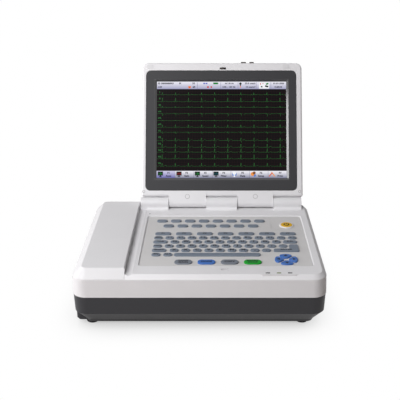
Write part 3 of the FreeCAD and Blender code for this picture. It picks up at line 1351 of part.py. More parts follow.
def stepper_motor():
    can = along(PINION_CENTRE, MOTOR_RADIUS, MOTOR_Y, MOTOR_Y + MOTOR_LENGTH)
    return can.cut(along(PINION_CENTRE, MOTOR_SHAFT_RADIUS + FIT, MOTOR_Y - PAST, MOTOR_Y + MOTOR_BORE_DEPTH))


def frame_plate(y):
    """One side plate of the recorder frame: a broad foot with an ear up to the print head."""
    shoulder = PLATEN_Z - PLATEN_RADIUS
    ear = FRAME_LEFT + FRAME_EAR_WIDTH
    outline = [
        (FRAME_LEFT, FLOOR_Z), (FRAME_RIGHT, FLOOR_Z), (FRAME_RIGHT, shoulder), (ear, shoulder),
        (ear, HEAD_TOP_Z), (FRAME_LEFT, HEAD_TOP_Z),
    ]
    return prism([Vector(x, y, z) for x, z in outline], Vector(0, FRAME_PLATE, 0))


def printer_frame():
    """Two side plates on a floor plate, with the stubs that carry the roll, idler and motor."""
    floor = box(FRAME_LEFT, FRAME_RIGHT, FRAME_FRONT, FRAME_BACK, FLOOR_Z, FLOOR_Z + FRAME_PLATE)
    plates = [frame_plate(FRAME_FRONT), frame_plate(FRAME_BACK - FRAME_PLATE)]
    stub = ROLL_CORE_RADIUS - ROLL_CORE_WALL - GAP
    roll_centre = (ROLL_X, ROLL_Z)
    stubs = [
        along(roll_centre, stub, FRAME_FRONT, ROLL_START + STUB_REACH),
        along(roll_centre, stub, ROLL_END - STUB_REACH, FRAME_BACK),
    ]
    axle = along(IDLER_CENTRE, IDLER_AXLE_RADIUS, FRAME_BACK - PAST, GEAR_Y + GEAR_WIDTH + AXLE_END)
    posts = []
    for angle in MOTOR_POST_ANGLES:
        centre = polar(PINION_CENTRE, MOTOR_RADIUS - MOTOR_POST_IN, math.radians(angle))
        posts.append(along(centre, MOTOR_POST_RADIUS, FRAME_BACK - PAST, MOTOR_Y))
    frame = fuse([floor] + plates + stubs + [axle] + posts)
    return frame.cut(along(PLATEN_CENTRE, PLATEN_SHAFT_RADIUS + FIT, FRAME_FRONT - PAST, FRAME_BACK + PAST))


def print_head():
    """The thermal head: a finned metal bar whose ceramic foot lies along the platen."""
    start = FRAME_FRONT + FRAME_PLATE
    end = FRAME_BACK - FRAME_PLATE
    left = PLATEN_X - HEAD_WIDTH / 2
    bar_z = HEAD_Z + HEAD_FOOT_HEIGHT
    bar = box(left, left + HEAD_WIDTH, start, end, bar_z, HEAD_TOP_Z)
    foot = box(PLATEN_X - HEAD_FOOT_WIDTH / 2, PLATEN_X + HEAD_FOOT_WIDTH / 2, start + HEAD_FOOT_INSET,
               end - HEAD_FOOT_INSET, HEAD_Z, bar_z)
    fins = []
    for i in range(HEAD_FIN_COUNT):
        x = PLATEN_X + (i - (HEAD_FIN_COUNT - 1) / 2) * HEAD_FIN_PITCH
        fins.append(box(x - HEAD_FIN_GAP / 2, x + HEAD_FIN_GAP / 2, start + HEAD_FIN_INSET, end - HEAD_FIN_INSET,
                        HEAD_TOP_Z - HEAD_FIN_DEPTH, HEAD_TOP_Z + PAST))
    return cut(fuse([bar, foot]), fins)


def tube_on_roll(outer, inner):
    roll_centre = (ROLL_X, ROLL_Z)
    return along(roll_centre, outer, ROLL_START, ROLL_END).cut(
        along(roll_centre, inner, ROLL_START - PAST, ROLL_END + PAST))


def paper_roll():
    return tube_on_roll(ROLL_RADIUS, ROLL_CORE_RADIUS)


def paper_core():
    return tube_on_roll(ROLL_CORE_RADIUS, ROLL_CORE_RADIUS - ROLL_CORE_WALL)


# Display lid

def lid_outline(z0, z1, step):
    low = max(LID_LOW_CORNER - step, LID_INNER_CORNER)
    return slab(LID_LEFT + step, LID_RIGHT - step, LID_FOOT + step, LID_TOP - step, z0, z1, low, LID_CORNER - step)


def bezel_outline(z0, z1, grow):
    return slab(BEZEL_LEFT - grow, BEZEL_RIGHT + grow, BEZEL_BOTTOM - grow, BEZEL_TOP + grow, z0, z1,
                BEZEL_CORNER + grow)


def lower_edge_round():
    """What is cut from the lid's lower front edge so that it clears the barrels' ramps."""
    left = LID_LEFT - PAST
    right = LID_RIGHT + PAST
    up = LID_FOOT + LID_LOWER_EDGE
    out = LID_FACE - LID_LOWER_EDGE
    corner = box(left, right, LID_FOOT - PAST, up, out, LID_FACE + PAST)
    return corner.cut(rod(LID_LOWER_EDGE, (left, up, out), (right, up, out)))


def latch_slot():
    half_w = LATCH_WIDTH / 2 + LATCH_SLOT_RIM
    half_h = LATCH_HEIGHT / 2 + LATCH_SLOT_RIM
    return box(LATCH_X - half_w, LATCH_X + half_w + LATCH_TRAVEL, LATCH_UP - half_h, LATCH_UP + half_h,
               LID_SPLIT, LID_FACE + PAST)


def slider_slot():
    return box(SLIDER_X - LATCH_SLOT_RIM, SLIDER_X + SLIDER_WIDTH + LATCH_TRAVEL + LATCH_SLOT_RIM,
               LID_TOP - 2 * LID_WALL, LID_TOP + PAST, SLIDER_BACK - LATCH_SLOT_RIM, SLIDER_FRONT + LATCH_SLOT_RIM)


def lid_front_frame():
    frame = lid_outline(LID_SPLIT, LID_FACE, 0)
    frame = frame.makeFillet(LID_FRONT_EDGE, rim(frame, LID_FACE))
    inside = lid_outline(LID_SPLIT - PAST, LID_FACE - LID_WALL, LID_WALL)
    window = bezel_outline(LID_SPLIT, LID_FACE + PAST, GAP)
    return cut(frame, [lower_edge_round(), inside, window, latch_slot(), slider_slot()])


def lid_back_cover():
    """The back shell, with posts that press the display against its bezel."""
    shell = lid_outline(LID_BACK, LID_SPLIT - FIT, 0)
    shell = shell.makeFillet(LID_BACK_EDGE, rim(shell, LID_BACK))
    shell = shell.cut(lid_outline(LID_BACK + LID_WALL, LID_SPLIT + PAST, LID_BACK_WALL))
    posts = []
    for x in (-SCREEN_WIDTH / 2, SCREEN_WIDTH / 2):
        for y in (SCREEN_UP - SCREEN_HEIGHT / 2, SCREEN_UP + SCREEN_HEIGHT / 2):
            posts.append(rod(LID_POST_RADIUS, (x, y, LID_BACK + LID_WALL - PAST), (x, y, MODULE_BACK)))
    return fuse([shell] + posts)


def screen_wire(z, grow):
    half_w = SCREEN_WIDTH / 2 + grow
    half_h = SCREEN_HEIGHT / 2 + grow
    return rounded_wire(-half_w, half_w, SCREEN_UP - half_h, SCREEN_UP + half_h, z, SCREEN_CORNER + grow / 2)


def screen_slab(z0, z1, grow):
    return Part.Face(screen_wire(z0, grow)).extrude(Vector(0, 0, z1 - z0))


def screen_bezel():
    """The dark surround, with a sloped edge down to the display."""
    plate = bezel_outline(GLASS_FACE, BEZEL_FACE, 0)
    lip = bezel_outline(GLASS_FACE, LID_FACE - LID_WALL - SEAT, BEZEL_LIP)
    slope = loft([screen_wire(GLASS_FACE, 0), screen_wire(BEZEL_FACE, SCREEN_BEVEL)])
    return cut(fuse([plate, lip]), [slope, latch_slot()])


def display_glass():
    return screen_slab(MODULE_FACE, GLASS_FACE, MODULE_MARGIN / 2)


def display_panel():
    return screen_slab(MODULE_BACK, MODULE_FACE, MODULE_MARGIN)


def display_board():
    half_w = DISPLAY_BOARD_WIDTH / 2
    half_h = DISPLAY_BOARD_HEIGHT / 2
    return slab(-half_w, half_w, SCREEN_UP - half_h, SCREEN_UP + half_h, MODULE_BACK - BOARD_THICKNESS, MODULE_BACK,
                BOARD_CORNER)


def hinge_covers():
    """The lid's two hinge knuckles: a barrel on the axis, closed by a flat face up to the lid."""
    covers = []
    for left, right in KNUCKLE_SPANS:
        skin = rod(KNUCKLE_FACE, (left, 0, 0), (right, 0, 0))
        neck = box(left, right, 0, LID_FOOT, -LID_FACE, LID_FACE)
        face = box(left, right, 0, KNUCKLE_COVER_TOP, LID_FACE, KNUCKLE_FACE)
        bore = rod(HINGE_PIN_RADIUS + FIT, (left - PAST, 0, 0), (right + PAST, 0, 0))
        covers.append(cut(fuse([skin, neck, face]), [bore]))
    return group(covers)


def lid_screw_caps():
    caps = []
    for left, right in KNUCKLE_SPANS:
        x = (left + right) / 2
        caps.append(rod(CAP_RADIUS, (x, CAP_UP, KNUCKLE_FACE), (x, CAP_UP, KNUCKLE_FACE + CAP_PROUD)))
    for x in (LID_LEFT + CORNER_CAP_LEFT_IN, LID_RIGHT - CORNER_CAP_RIGHT_IN):
        caps.append(rod(CORNER_CAP_RADIUS, (x, CORNER_CAP_UP, LID_FACE),
                        (x, CORNER_CAP_UP, LID_FACE + CORNER_CAP_PROUD)))
    return group(caps)


def lid_bumpers():
    pads = []
    y = LID_TOP - PAD_TOP_IN
    for x in (LID_LEFT + PAD_LEFT_IN, LID_RIGHT - PAD_RIGHT_IN):
        pads.append(slab(x - PAD_WIDTH / 2, x + PAD_WIDTH / 2, y - PAD_HEIGHT / 2, y + PAD_HEIGHT / 2, LID_FACE,
                         LID_FACE + PAD_PROUD, PAD_CORNER))
    return group(pads)


def lid_latch():
    """The latch hook and the ribbed slider on the lid's top edge, joined by a bar inside."""
    left = LATCH_X - LATCH_WIDTH / 2
    right = LATCH_X + LATCH_WIDTH / 2
    low = LATCH_UP - LATCH_HEIGHT / 2
    high = LATCH_UP + LATCH_HEIGHT / 2
    bar_top = LID_TOP - LID_WALL - GAP
    nose = LID_FACE + LATCH_REACH
    slider_right = SLIDER_X + SLIDER_WIDTH
    bar = box(left, slider_right, bar_top - LATCH_BAR, bar_top, SLIDER_BACK, SLIDER_FRONT)
    arm = box(left, right, low, bar_top, SLIDER_BACK, SLIDER_FRONT)
    hook = box(left, right, low, high, SLIDER_BACK, nose)
    corners = [(left, nose), (left, nose - BARB_HEIGHT), (left + BARB_LENGTH, nose)]
    barb = prism([Vector(x, low - PAST, z) for x, z in corners], Vector(0, LATCH_HEIGHT + 2 * PAST, 0))
    slider = box(SLIDER_X, slider_right, bar_top - PAST, LID_TOP, SLIDER_BACK, SLIDER_FRONT)
    ribs = [box(SLIDER_X + start, SLIDER_X + end, LID_TOP - PAST, LID_TOP + SLIDER_PROUD, SLIDER_BACK, SLIDER_FRONT)
            for start, end in SLIDER_RIBS]
    return fuse([bar, arm, hook, slider] + ribs).cut(barb)


# The whole assembly

BASE_PIECES = (
    bottom_case, top_case, rubber_feet, case_screws, keyboard_panel, keypad_mat, keyboard_board, power_ring,
    led_lenses, catch_plate, hinge_pins, main_board, power_supply, battery_pack, battery_door, speaker,
    mains_inlet, earth_pin, ecg_connector, data_ports, printer_frame, print_head, stepper_motor, recorder_cover,
    platen_roller, platen_shaft, platen_gear, idler_gear, motor_pinion, paper_roll, paper_core,
)
LID_PIECES = (
    lid_front_frame, lid_back_cover, screen_bezel, display_glass, display_panel, display_board, hinge_covers,
    lid_screw_caps, lid_bumpers, lid_latch,
)


def save(name, shape):
    """Moves a piece so that the origin is under the middle of the whole machine, and writes it."""
    placed = shape.copy()
    placed.translate(Vector(0, FRONT, 0))
    placed.exportStep("parts/" + name + ".step")
    print(name, "solids", len(placed.Solids), "valid", placed.isValid(), "volume", round(placed.Volume))


os.makedirs("parts", exist_ok=True)
for build in BASE_PIECES:
    save(build.__name__, build())
for build in LID_PIECES:
    save(build.__name__, on_lid(build()))
for key_name, key_shapes in key_outlines().items():
    save(key_name, group([key_cap(shape) for shape in key_shapes]))

print("base", BASE_WIDTH, BASE_DEPTH, "front edge", FRONT, "deck", DECK_Z)
print("hinge axis", HINGE_Y + FRONT, HINGE_Z, "catch", CATCH_X, CATCH_Y)
print("platen", PLATEN_CENTRE, "idler", IDLER_CENTRE, "pinion", PINION_CENTRE, "roll", (ROLL_X, ROLL_Z))
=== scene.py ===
# %% [markdown]
# # An ECG machine in a light studio
# The machine is a tabletop electrocardiograph. Its case, keys, lid and recorder come from the packed
# frame at their real size, in metres, with +X to the user's right, +Y away from the user and +Z up.
# This lesson adds the camera, the light, a finish for every piece, and the pieces that only have to
# look right: the lettering on the keys, the picture on the screen and the small trim.

import json
import math

import bmesh
import bpy
from mathutils import Matrix, Vector


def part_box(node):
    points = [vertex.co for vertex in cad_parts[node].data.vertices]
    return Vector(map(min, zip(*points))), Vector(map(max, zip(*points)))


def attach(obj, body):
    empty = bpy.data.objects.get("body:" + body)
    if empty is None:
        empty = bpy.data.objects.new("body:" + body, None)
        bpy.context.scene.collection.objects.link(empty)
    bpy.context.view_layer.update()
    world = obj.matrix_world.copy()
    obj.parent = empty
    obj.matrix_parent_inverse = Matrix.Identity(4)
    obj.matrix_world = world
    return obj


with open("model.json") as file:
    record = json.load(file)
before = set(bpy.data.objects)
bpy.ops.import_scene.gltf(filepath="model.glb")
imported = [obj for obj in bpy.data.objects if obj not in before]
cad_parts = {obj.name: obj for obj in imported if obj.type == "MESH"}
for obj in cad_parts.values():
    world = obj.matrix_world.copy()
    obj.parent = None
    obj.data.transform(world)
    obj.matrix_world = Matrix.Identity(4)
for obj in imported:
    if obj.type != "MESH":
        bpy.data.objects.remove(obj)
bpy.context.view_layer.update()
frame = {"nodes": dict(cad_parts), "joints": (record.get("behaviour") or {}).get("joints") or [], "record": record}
MM = 0.001

# %% [markdown]
# ## Camera
# The machine was photographed from the front, from a little above and with a long lens. The lens is
# given as a focal length in pixels of a square picture, because that is what a fit to straight edges
# gives, and it turns into millimetres by the width of the sensor. The optical axis is a little right
# of the picture's middle, so the lens is shifted instead of turned: turning would tilt upright edges.

# %% Camera
PICTURE = 400
FOCAL_PIXELS = 747.2
AXIS_PIXEL_X = 212.83
SENSOR = 36.0
CAMERA_PLACE = (0.0209, -1.2336, 0.6378)
CAMERA_PITCH = math.radians(90 - 21.87)

bpy.ops.object.select_all(action="DESELECT")
bpy.ops.object.camera_add(location=CAMERA_PLACE, rotation=(CAMERA_PITCH, 0, 0))
camera = bpy.context.object
camera.name = "camera"
camera.data.sensor_width = SENSOR
camera.data.lens = FOCAL_PIXELS * SENSOR / PICTURE
camera.data.shift_x = 0.5 - AXIS_PIXEL_X / PICTURE
bpy.context.scene.camera = camera
bpy.context.scene.view_settings.view_transform = "Standard"
print("lens", round(camera.data.lens, 2), "mm, shift", round(camera.data.shift_x, 4))

# %% [markdown]
# ## Shader maths
# A finish is a small program: a pattern is sampled where the surface is, shaped by sums and products,
# and fed to the Principled shader. Wiring Math nodes one by one hides that program, so one small class
# wraps a socket and adds the Math node for each operator. Any other node comes from its node method.

# %% A socket that does maths
class Field:
    """One output socket of a shader tree."""

    def __init__(self, tree, socket):
        self.tree = tree
        self.socket = socket

    def node(self, kind, settings, sockets, output=0):
        made = self.tree.nodes.new("ShaderNode" + kind)
        for name, value in settings.items():
            setattr(made, name, value)
        for name, value in sockets.items():
            if isinstance(value, Field):
                self.tree.links.new(value.socket, made.inputs[name])
            else:
                made.inputs[name].default_value = value
        return Field(self.tree, made.outputs[output])

    def maths(self, operation, first, second=0.0):
        return self.node("Math", {"operation": operation}, {0: first, 1: second})

    def __add__(self, other):
        return self.maths("ADD", self, other)

    __radd__ = __add__

    def __sub__(self, other):
        return self.maths("SUBTRACT", self, other)

    def __rsub__(self, other):
        return self.maths("SUBTRACT", other, self)

    def __mul__(self, other):
        return self.maths("MULTIPLY", self, other)

    __rmul__ = __mul__

    def __lt__(self, other):
        return self.maths("LESS_THAN", self, other)

    def __gt__(self, other):
        return self.maths("GREATER_THAN", self, other)

    def wrap(self, period):
        return self.maths("PINGPONG", self, period / 2)

    def noise(self, scale, detail=2.0):
        return self.node("TexNoise", {}, {"Vector": self, "Scale": scale, "Detail": detail})

    def axis(self, name):
        return self.node("SeparateXYZ", {}, {"Vector": self}, name)

    def mix(self, low, high):
        """A colour from low to high as this field goes from 0 to 1."""
        return self.node("Mix", {"data_type": "RGBA"}, {0: self, 6: low, 7: high}, 2)

    def into(self, shader, name):
        self.tree.links.new(self.socket, shader.inputs[name])


def rgba(colour):
    return (*colour, 1.0)


def scaled(colour, factor):
    return rgba([min(1.0, channel * factor) for channel in colour])


# %% [markdown]
# ## Floor, world and lamps
# The machine stands on a white sweep, where only a soft shadow shows round its foot. A floor lit to pure
# white would clip, so what the camera and the glossy surfaces see is a white glow of its own, dimmed
# where the case hides the room from the floor: the Ambient Occlusion node measures that. Every other
# ray meets a plain pale floor that throws some light back at the underside.

# %% Floor
FLOOR_SIZE = 16.0
FLOOR_PALE = (0.465, 0.405, 0.37)
FLOOR_GRAIN = 60.0
FLOOR_MOTTLE = 0.985
FLOOR_ROUGHNESS = 0.9
SHADOW_REACH = 0.06
SHADOW_DEPTH = 0.57
SHADOW_SAMPLES = 16

bpy.ops.object.select_all(action="DESELECT")
bpy.ops.mesh.primitive_plane_add(size=FLOOR_SIZE)
floor = bpy.context.object
floor.name = "floor"


def empty_material(name):
    material = bpy.data.materials.new(name)
    material.use_nodes = True
    tree = material.node_tree
    shader = tree.nodes["Principled BSDF"]
    coordinates = tree.nodes.new("ShaderNodeTexCoord")
    return material, shader, Field(tree, coordinates.outputs["Object"])


def seen_directly(field):
    """1 for rays of the camera, of gloss and through glass, and 0 for the rest."""
    seen = field.node("LightPath", {}, {}, "Is Camera Ray")
    for kind in ("Is Glossy Ray", "Is Transmission Ray"):
        seen = seen.maths("MAXIMUM", seen, field.node("LightPath", {}, {}, kind))
    return seen


def floor_finish():
    material, shader, place = empty_material("white_sweep")
    grain = place.noise(FLOOR_GRAIN)
    grain.mix(scaled(FLOOR_PALE, FLOOR_MOTTLE), rgba(FLOOR_PALE)).into(shader, "Base Color")
    shader.inputs["Roughness"].default_value = FLOOR_ROUGHNESS
    shader.inputs["Specular IOR Level"].default_value = 0.0
    lit = Field(place.tree, shader.outputs["BSDF"])
    open_sky = place.node("AmbientOcclusion", {"samples": SHADOW_SAMPLES}, {"Distance": SHADOW_REACH}, "AO")
    hidden = 1 - open_sky
    tone = (SHADOW_DEPTH * hidden * hidden).mix((1, 1, 1, 1), (0, 0, 0, 1))
    picture = place.node("Emission", {}, {"Color": tone})
    shown = place.node("MixShader", {}, {0: seen_directly(place), 1: lit, 2: picture})
    place.tree.links.new(shown.socket, place.tree.nodes["Material Output"].inputs["Surface"])
    return material


floor.data.materials.append(floor_finish())
print("floor", FLOOR_SIZE, "m wide")

# %% [markdown]
# The light comes from the left and the front. A large box in front models the keys softly, and a box on
# the left makes the left corner bright, throws the slope beside the recorder into shade and puts a
# sheen on the right slope of the display's frame. What the room adds is weak, so the right stays dim,
# and it is a little warmer than the lamps, as light thrown back by a floor and by walls is.

# %% World and lamps
AMBIENT = 0.06
AMBIENT_COLOUR = (1.0, 0.90, 0.86)
LAMP_COLOUR = (0.985, 0.985, 1.0)
LAMP_AIM = Vector((0.0, -0.05, 0.10))
LAMPS = [
    ("left_box", (-1.60, 0.0, 0.55), 0.6, 11.0),
    ("front_box", (-0.84, -1.16, 1.36), 1.1, 33.3),
]

world = bpy.data.worlds.new("studio")
world.use_nodes = True
bpy.context.scene.world = world
world_out = world.node_tree.nodes["World Output"]
room = Field(world.node_tree, world.node_tree.nodes["Background"].outputs[0])
dim = room.node("Background", {}, {"Color": rgba(AMBIENT_COLOUR), "Strength": AMBIENT})
bright = room.node("Background", {}, {"Color": (1, 1, 1, 1), "Strength": 1.0})
sky = room.node("MixShader", {}, {0: seen_directly(room), 1: dim, 2: bright})
world.node_tree.links.new(sky.socket, world_out.inputs["Surface"])

for name, place, size, power in LAMPS:
    aim = (LAMP_AIM - Vector(place)).to_track_quat("-Z", "Y").to_euler()
    bpy.ops.object.select_all(action="DESELECT")
    bpy.ops.object.light_add(type="AREA", location=place, rotation=aim)
    lamp = bpy.context.object
    lamp.name = name
    lamp.data.size = size
    lamp.data.energy = power
    lamp.data.color = LAMP_COLOUR
print("lamps:", [lamp[0] for lamp in LAMPS])

# %% [markdown]
# ## The lid's own axes
# The lid leans back, so what lies on it is measured and drawn in axes of its own, X to the right, Y up
# the lid and Z out of its face, from the hinge. One matrix turns those axes into the machine's, and one
# Mapping node turns a place on the machine back into them, for finishes that change over the lid.

# %% The lid's own axes
LID_TILT = math.radians(26.2)
hinge = next(joint for joint in frame["joints"] if joint["name"] == "lid_hinge")
glass_low, glass_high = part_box("display_glass")
LID_ORIGIN = Vector(((glass_low.x + glass_high.x) / 2, hinge["pos_m"][1], hinge["pos_m"][2]))
LID_TURN = math.pi / 2 - LID_TILT
LID = Matrix.Translation(LID_ORIGIN) @ Matrix.Rotation(LID_TURN, 4, "X")
in_lid = [LID.inverted() @ v.co for v in frame["nodes"]["display_glass"].data.vertices]
GLASS_FACE = max(v.z for v in in_lid)
GLASS_MARGIN = 4.0 * MM
SCREEN_RIGHT = max(v.x for v in in_lid) - GLASS_MARGIN
SCREEN_TOP = max(v.y for v in in_lid) - GLASS_MARGIN
SCREEN_BOTTOM = min(v.y for v in in_lid) + GLASS_MARGIN
print("screen", round(2 * SCREEN_RIGHT, 4), "by", round(SCREEN_TOP - SCREEN_BOTTOM, 4), "m")
print("glass face", round(GLASS_FACE, 5), "m out of the hinge")


def on_lid(place):
    """A place on the machine, in the lid's axes."""
    return place.node("Mapping", {"vector_type": "TEXTURE"}, {
        "Vector": place, "Location": LID_ORIGIN, "Rotation": (LID_TURN, 0, 0)})


# %% [markdown]
# ## Moulded plastic
# The case, keys and trim are injection moulded, with a fine spark texture that scatters the light.
# That texture is far smaller than a vertex could be, so it is a noise that feeds the bump. A second,
# broad noise shifts colour and roughness by a percent or two, as handling and moulding do, so that no
# surface is one flat colour. The slope round the display is lacquered, so it alone has a coat.

# %% Moulded plastic
LACQUER_ROUGHNESS = 0.10
SLOPE_WIDTH = 4.2 * MM
CLOUD_SCALE = 22.0
CLOUD_DETAIL = 4.0
GRAIN_SHIFT = 0.12
CLOUD_SHIFT = 0.10
GRAIN_STRENGTH = 0.35


def display_slope(place):
    """1 on the slope round the display, and 0 on the flat of its frame."""
    lid = on_lid(place)
    across = lid.axis("X")
    up = lid.axis("Y") - (SCREEN_TOP + SCREEN_BOTTOM) / 2
    past_side = across.maths("ABSOLUTE", across) - (SCREEN_RIGHT + SLOPE_WIDTH)
    past_end = up.maths("ABSOLUTE", up) - ((SCREEN_TOP - SCREEN_BOTTOM) / 2 + SLOPE_WIDTH)
    return past_side.maths("MAXIMUM", past_side, past_end) < 0.0


def moulded(name, colour, roughness, gloss=0.5, grain_scale=2400.0, grain_depth=0.016 * MM, mottle=0.03,
            lacquered=None):
    material, shader, place = empty_material(name)
    grain = place.noise(grain_scale)
    broad = place.noise(CLOUD_SCALE, CLOUD_DETAIL)
    broad.mix(scaled(colour, 1 - mottle), scaled(colour, 1 + mottle)).into(shader, "Base Color")
    (roughness + GRAIN_SHIFT * (grain - 0.5) + CLOUD_SHIFT * (broad - 0.5)).into(shader, "Roughness")
    shader.inputs["Specular IOR Level"].default_value = gloss
    if lacquered:
        shader.inputs["Coat Roughness"].default_value = LACQUER_ROUGHNESS
        lacquered(place).into(shader, "Coat Weight")
    bump = place.node("Bump", {}, {"Strength": GRAIN_STRENGTH, "Distance": grain_depth, "Height": grain})
    bump.into(shader, "Normal")
    return material


finishes = {
    "case_white": moulded("case_white", (0.762, 0.755, 0.768), 0.42),
    "cover_white": moulded("cover_white", (0.690, 0.684, 0.694), 0.42),
    "case_dark": moulded("case_dark", (0.036, 0.036, 0.040), 0.46, 0.28),
    "panel_grey": moulded("panel_grey", (0.630, 0.620, 0.615), 0.50),
    "bezel_dark": moulded("bezel_dark", (0.045, 0.045, 0.048), 0.42, 0.14, lacquered=display_slope),
    "latch_dark": moulded("latch_dark", (0.045, 0.036, 0.032), 0.40, 0.3),
    "socket_black": moulded("socket_black", (0.020, 0.020, 0.021), 0.40),
    "socket_grey": moulded("socket_grey", (0.36, 0.37, 0.39), 0.42),
    "gear_plastic": moulded("gear_plastic", (0.72, 0.70, 0.62), 0.38),
    "key_grey": moulded("key_grey", (0.172, 0.205, 0.252), 0.40, 0.25),
    "key_pale_grey": moulded("key_pale_grey", (0.176, 0.196, 0.230), 0.40, 0.25),
    "key_blue": moulded("key_blue", (0.054, 0.152, 0.450), 0.40, 0.25),
    "key_green": moulded("key_green", (0.006, 0.300, 0.022), 0.40, 0.25),
    "key_yellow": moulded("key_yellow", (0.76, 0.44, 0.004), 0.40, 0.25),
}
print("moulded finishes:", sorted(finishes))

# %% [markdown]
# ## Rubber, card and paper
# Rubber is darker and rougher than plastic, with a coarser, cloudy surface. Paper and card show fibres:
# the same noise, pulled out along one axis by a Mapping node.

# %% Rubber, card and paper
FIBRE_SCALE = 900.0
FIBRE_DETAIL = 5.0
FIBRE_DEPTH = 0.05 * MM


def rubber(name, colour):
    return moulded(name, colour, 0.80, 0.3, grain_scale=900.0, grain_depth=0.10 * MM, mottle=0.10)


def fibrous(name, colour, stretch):
    material, shader, place = empty_material(name)
    pulled = place.node("Mapping", {}, {"Vector": place, "Scale": stretch})
    fibre = pulled.noise(FIBRE_SCALE, FIBRE_DETAIL)
    fibre.mix(scaled(colour, 0.94), scaled(colour, 1.04)).into(shader, "Base Color")
    (0.78 + 0.15 * fibre).into(shader, "Roughness")
    bump = place.node("Bump", {}, {"Strength": 0.3, "Distance": FIBRE_DEPTH, "Height": fibre})
    bump.into(shader, "Normal")
    return material


finishes["foot_rubber"] = rubber("foot_rubber", (0.024, 0.025, 0.028))
finishes["mat_rubber"] = rubber("mat_rubber", (0.30, 0.31, 0.33))
finishes["platen_rubber"] = rubber("platen_rubber", (0.022, 0.022, 0.024))
finishes["battery_wrap"] = rubber("battery_wrap", (0.025, 0.055, 0.16))
finishes["paper_white"] = fibrous("paper_white", (0.84, 0.82, 0.80), (1.0, 0.15, 1.0))
finishes["core_card"] = fibrous("core_card", (0.42, 0.31, 0.20), (0.2, 1.0, 1.0))
print("soft finishes:", [n for n in finishes if finishes[n].name.endswith(("rubber", "card", "wrap"))])

# %% [markdown]
# ## Metals
# Sheet and turned metal carry fine scratches in the direction they were worked. A noise stretched
# along that direction drives both the roughness and a shallow bump.

# %% Metals
SCRATCH_SCALE = 1600.0
SCRATCH_DETAIL = 4.0
SCRATCH_SHIFT = 0.22
SCRATCH_DEPTH = 0.03 * MM


def brushed(name, colour, roughness, stretch=(1.0, 0.04, 1.0)):
    material, shader, place = empty_material(name)
    pulled = place.node("Mapping", {}, {"Vector": place, "Scale": stretch})
    scratch = pulled.noise(SCRATCH_SCALE, SCRATCH_DETAIL)
    cloud = place.noise(30.0, 3.0)
    cloud.mix(scaled(colour, 0.93), scaled(colour, 1.03)).into(shader, "Base Color")
    shader.inputs["Metallic"].default_value = 1.0
    (roughness + SCRATCH_SHIFT * (scratch - 0.5)).into(shader, "Roughness")
    bump = place.node("Bump", {}, {"Strength": 0.25, "Distance": SCRATCH_DEPTH, "Height": scratch})
    bump.into(shader, "Normal")
    return material


finishes["steel"] = brushed("steel", (0.60, 0.60, 0.61), 0.30)
finishes["supply_metal"] = brushed("supply_metal", (0.66, 0.67, 0.68), 0.38)
finishes["frame_metal"] = brushed("frame_metal", (0.62, 0.63, 0.65), 0.40)
finishes["head_metal"] = brushed("head_metal", (0.75, 0.75, 0.76), 0.32)
finishes["motor_metal"] = brushed("motor_metal", (0.45, 0.45, 0.46), 0.35)
finishes["earth_brass"] = brushed("earth_brass", (0.78, 0.56, 0.24), 0.28, (1.0, 1.0, 1.0))
print("metals:", [n for n in finishes if n.endswith(("metal", "steel", "brass"))])

# %% [markdown]
# ## Circuit boards, glass and lamps
# A board is green lacquer over copper tracks, which a brick pattern stands for. The display glass is
# nearly black and glossy, with faint finger marks in its roughness. The three lamps share one piece,
# so their colours follow the X coordinate: only the middle one is lit.

# %% Circuit boards, glass and lamps
LAMP_LOW, LAMP_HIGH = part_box("led_lenses")
LAMP_SPLIT = (LAMP_HIGH.x - LAMP_LOW.x) / 3
LENS_GLOSS = 0.12
TRACK_DENSITY = 90.0
TRACK_WIDTH = 0.02
TRACK_DEPTH = 0.05 * MM


def circuit_board():
    material, shader, place = empty_material("circuit_board")
    track = place.node("TexBrick", {"offset": 0.37}, {
        "Vector": place, "Color1": (0, 0, 0, 1), "Color2": (0, 0, 0, 1), "Mortar": (1, 1, 1, 1),
        "Scale": TRACK_DENSITY, "Mortar Size": TRACK_WIDTH}, "Fac")
    cloud = place.noise(80.0, 3.0)
    lacquer = cloud.mix((0.008, 0.085, 0.030, 1), (0.012, 0.115, 0.042, 1))
    track.mix(lacquer, (0.04, 0.20, 0.07, 1)).into(shader, "Base Color")
    (0.32 + 0.2 * (cloud - 0.5)).into(shader, "Roughness")
    bump = place.node("Bump", {}, {"Strength": 0.3, "Distance": TRACK_DEPTH, "Height": track})
    bump.into(shader, "Normal")
    return material


def dark_glass(name, colour, roughness):
    material, shader, place = empty_material(name)
    smear = place.noise(35.0, 5.0)
    smear.mix(rgba(colour), scaled(colour, 1.4)).into(shader, "Base Color")
    (roughness + 0.10 * smear).into(shader, "Roughness")
    return material


def lamp_lens():
    material, shader, place = empty_material("lamp_lens")
    across = place.axis("X")
    right = across > LAMP_LOW.x + 2 * LAMP_SPLIT
    middle = (across > LAMP_LOW.x + LAMP_SPLIT) - right
    cloud = place.noise(300.0)
    dark = cloud.mix((0.008, 0.010, 0.010, 1), (0.014, 0.017, 0.017, 1))
    middle.mix(dark, (0.10, 0.13, 0.02, 1)).into(shader, "Base Color")
    middle.mix((0, 0, 0, 1), (0.04, 0.06, 0.01, 1)).into(shader, "Emission Color")
    shader.inputs["Emission Strength"].default_value = 1.0
    shader.inputs["Specular IOR Level"].default_value = LENS_GLOSS
    (0.12 + 0.1 * cloud).into(shader, "Roughness")
    return material


finishes["circuit_board"] = circuit_board()
finishes["screen_glass"] = dark_glass("screen_glass", (0.006, 0.006, 0.008), 0.10)
finishes["display_black"] = dark_glass("display_black", (0.012, 0.012, 0.013), 0.35)
finishes["lamp_lens"] = lamp_lens()
print("finishes in all:", len(finishes))

# %% [markdown]
# ## Painting the frame
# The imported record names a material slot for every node, so one loop gives each piece its finish.

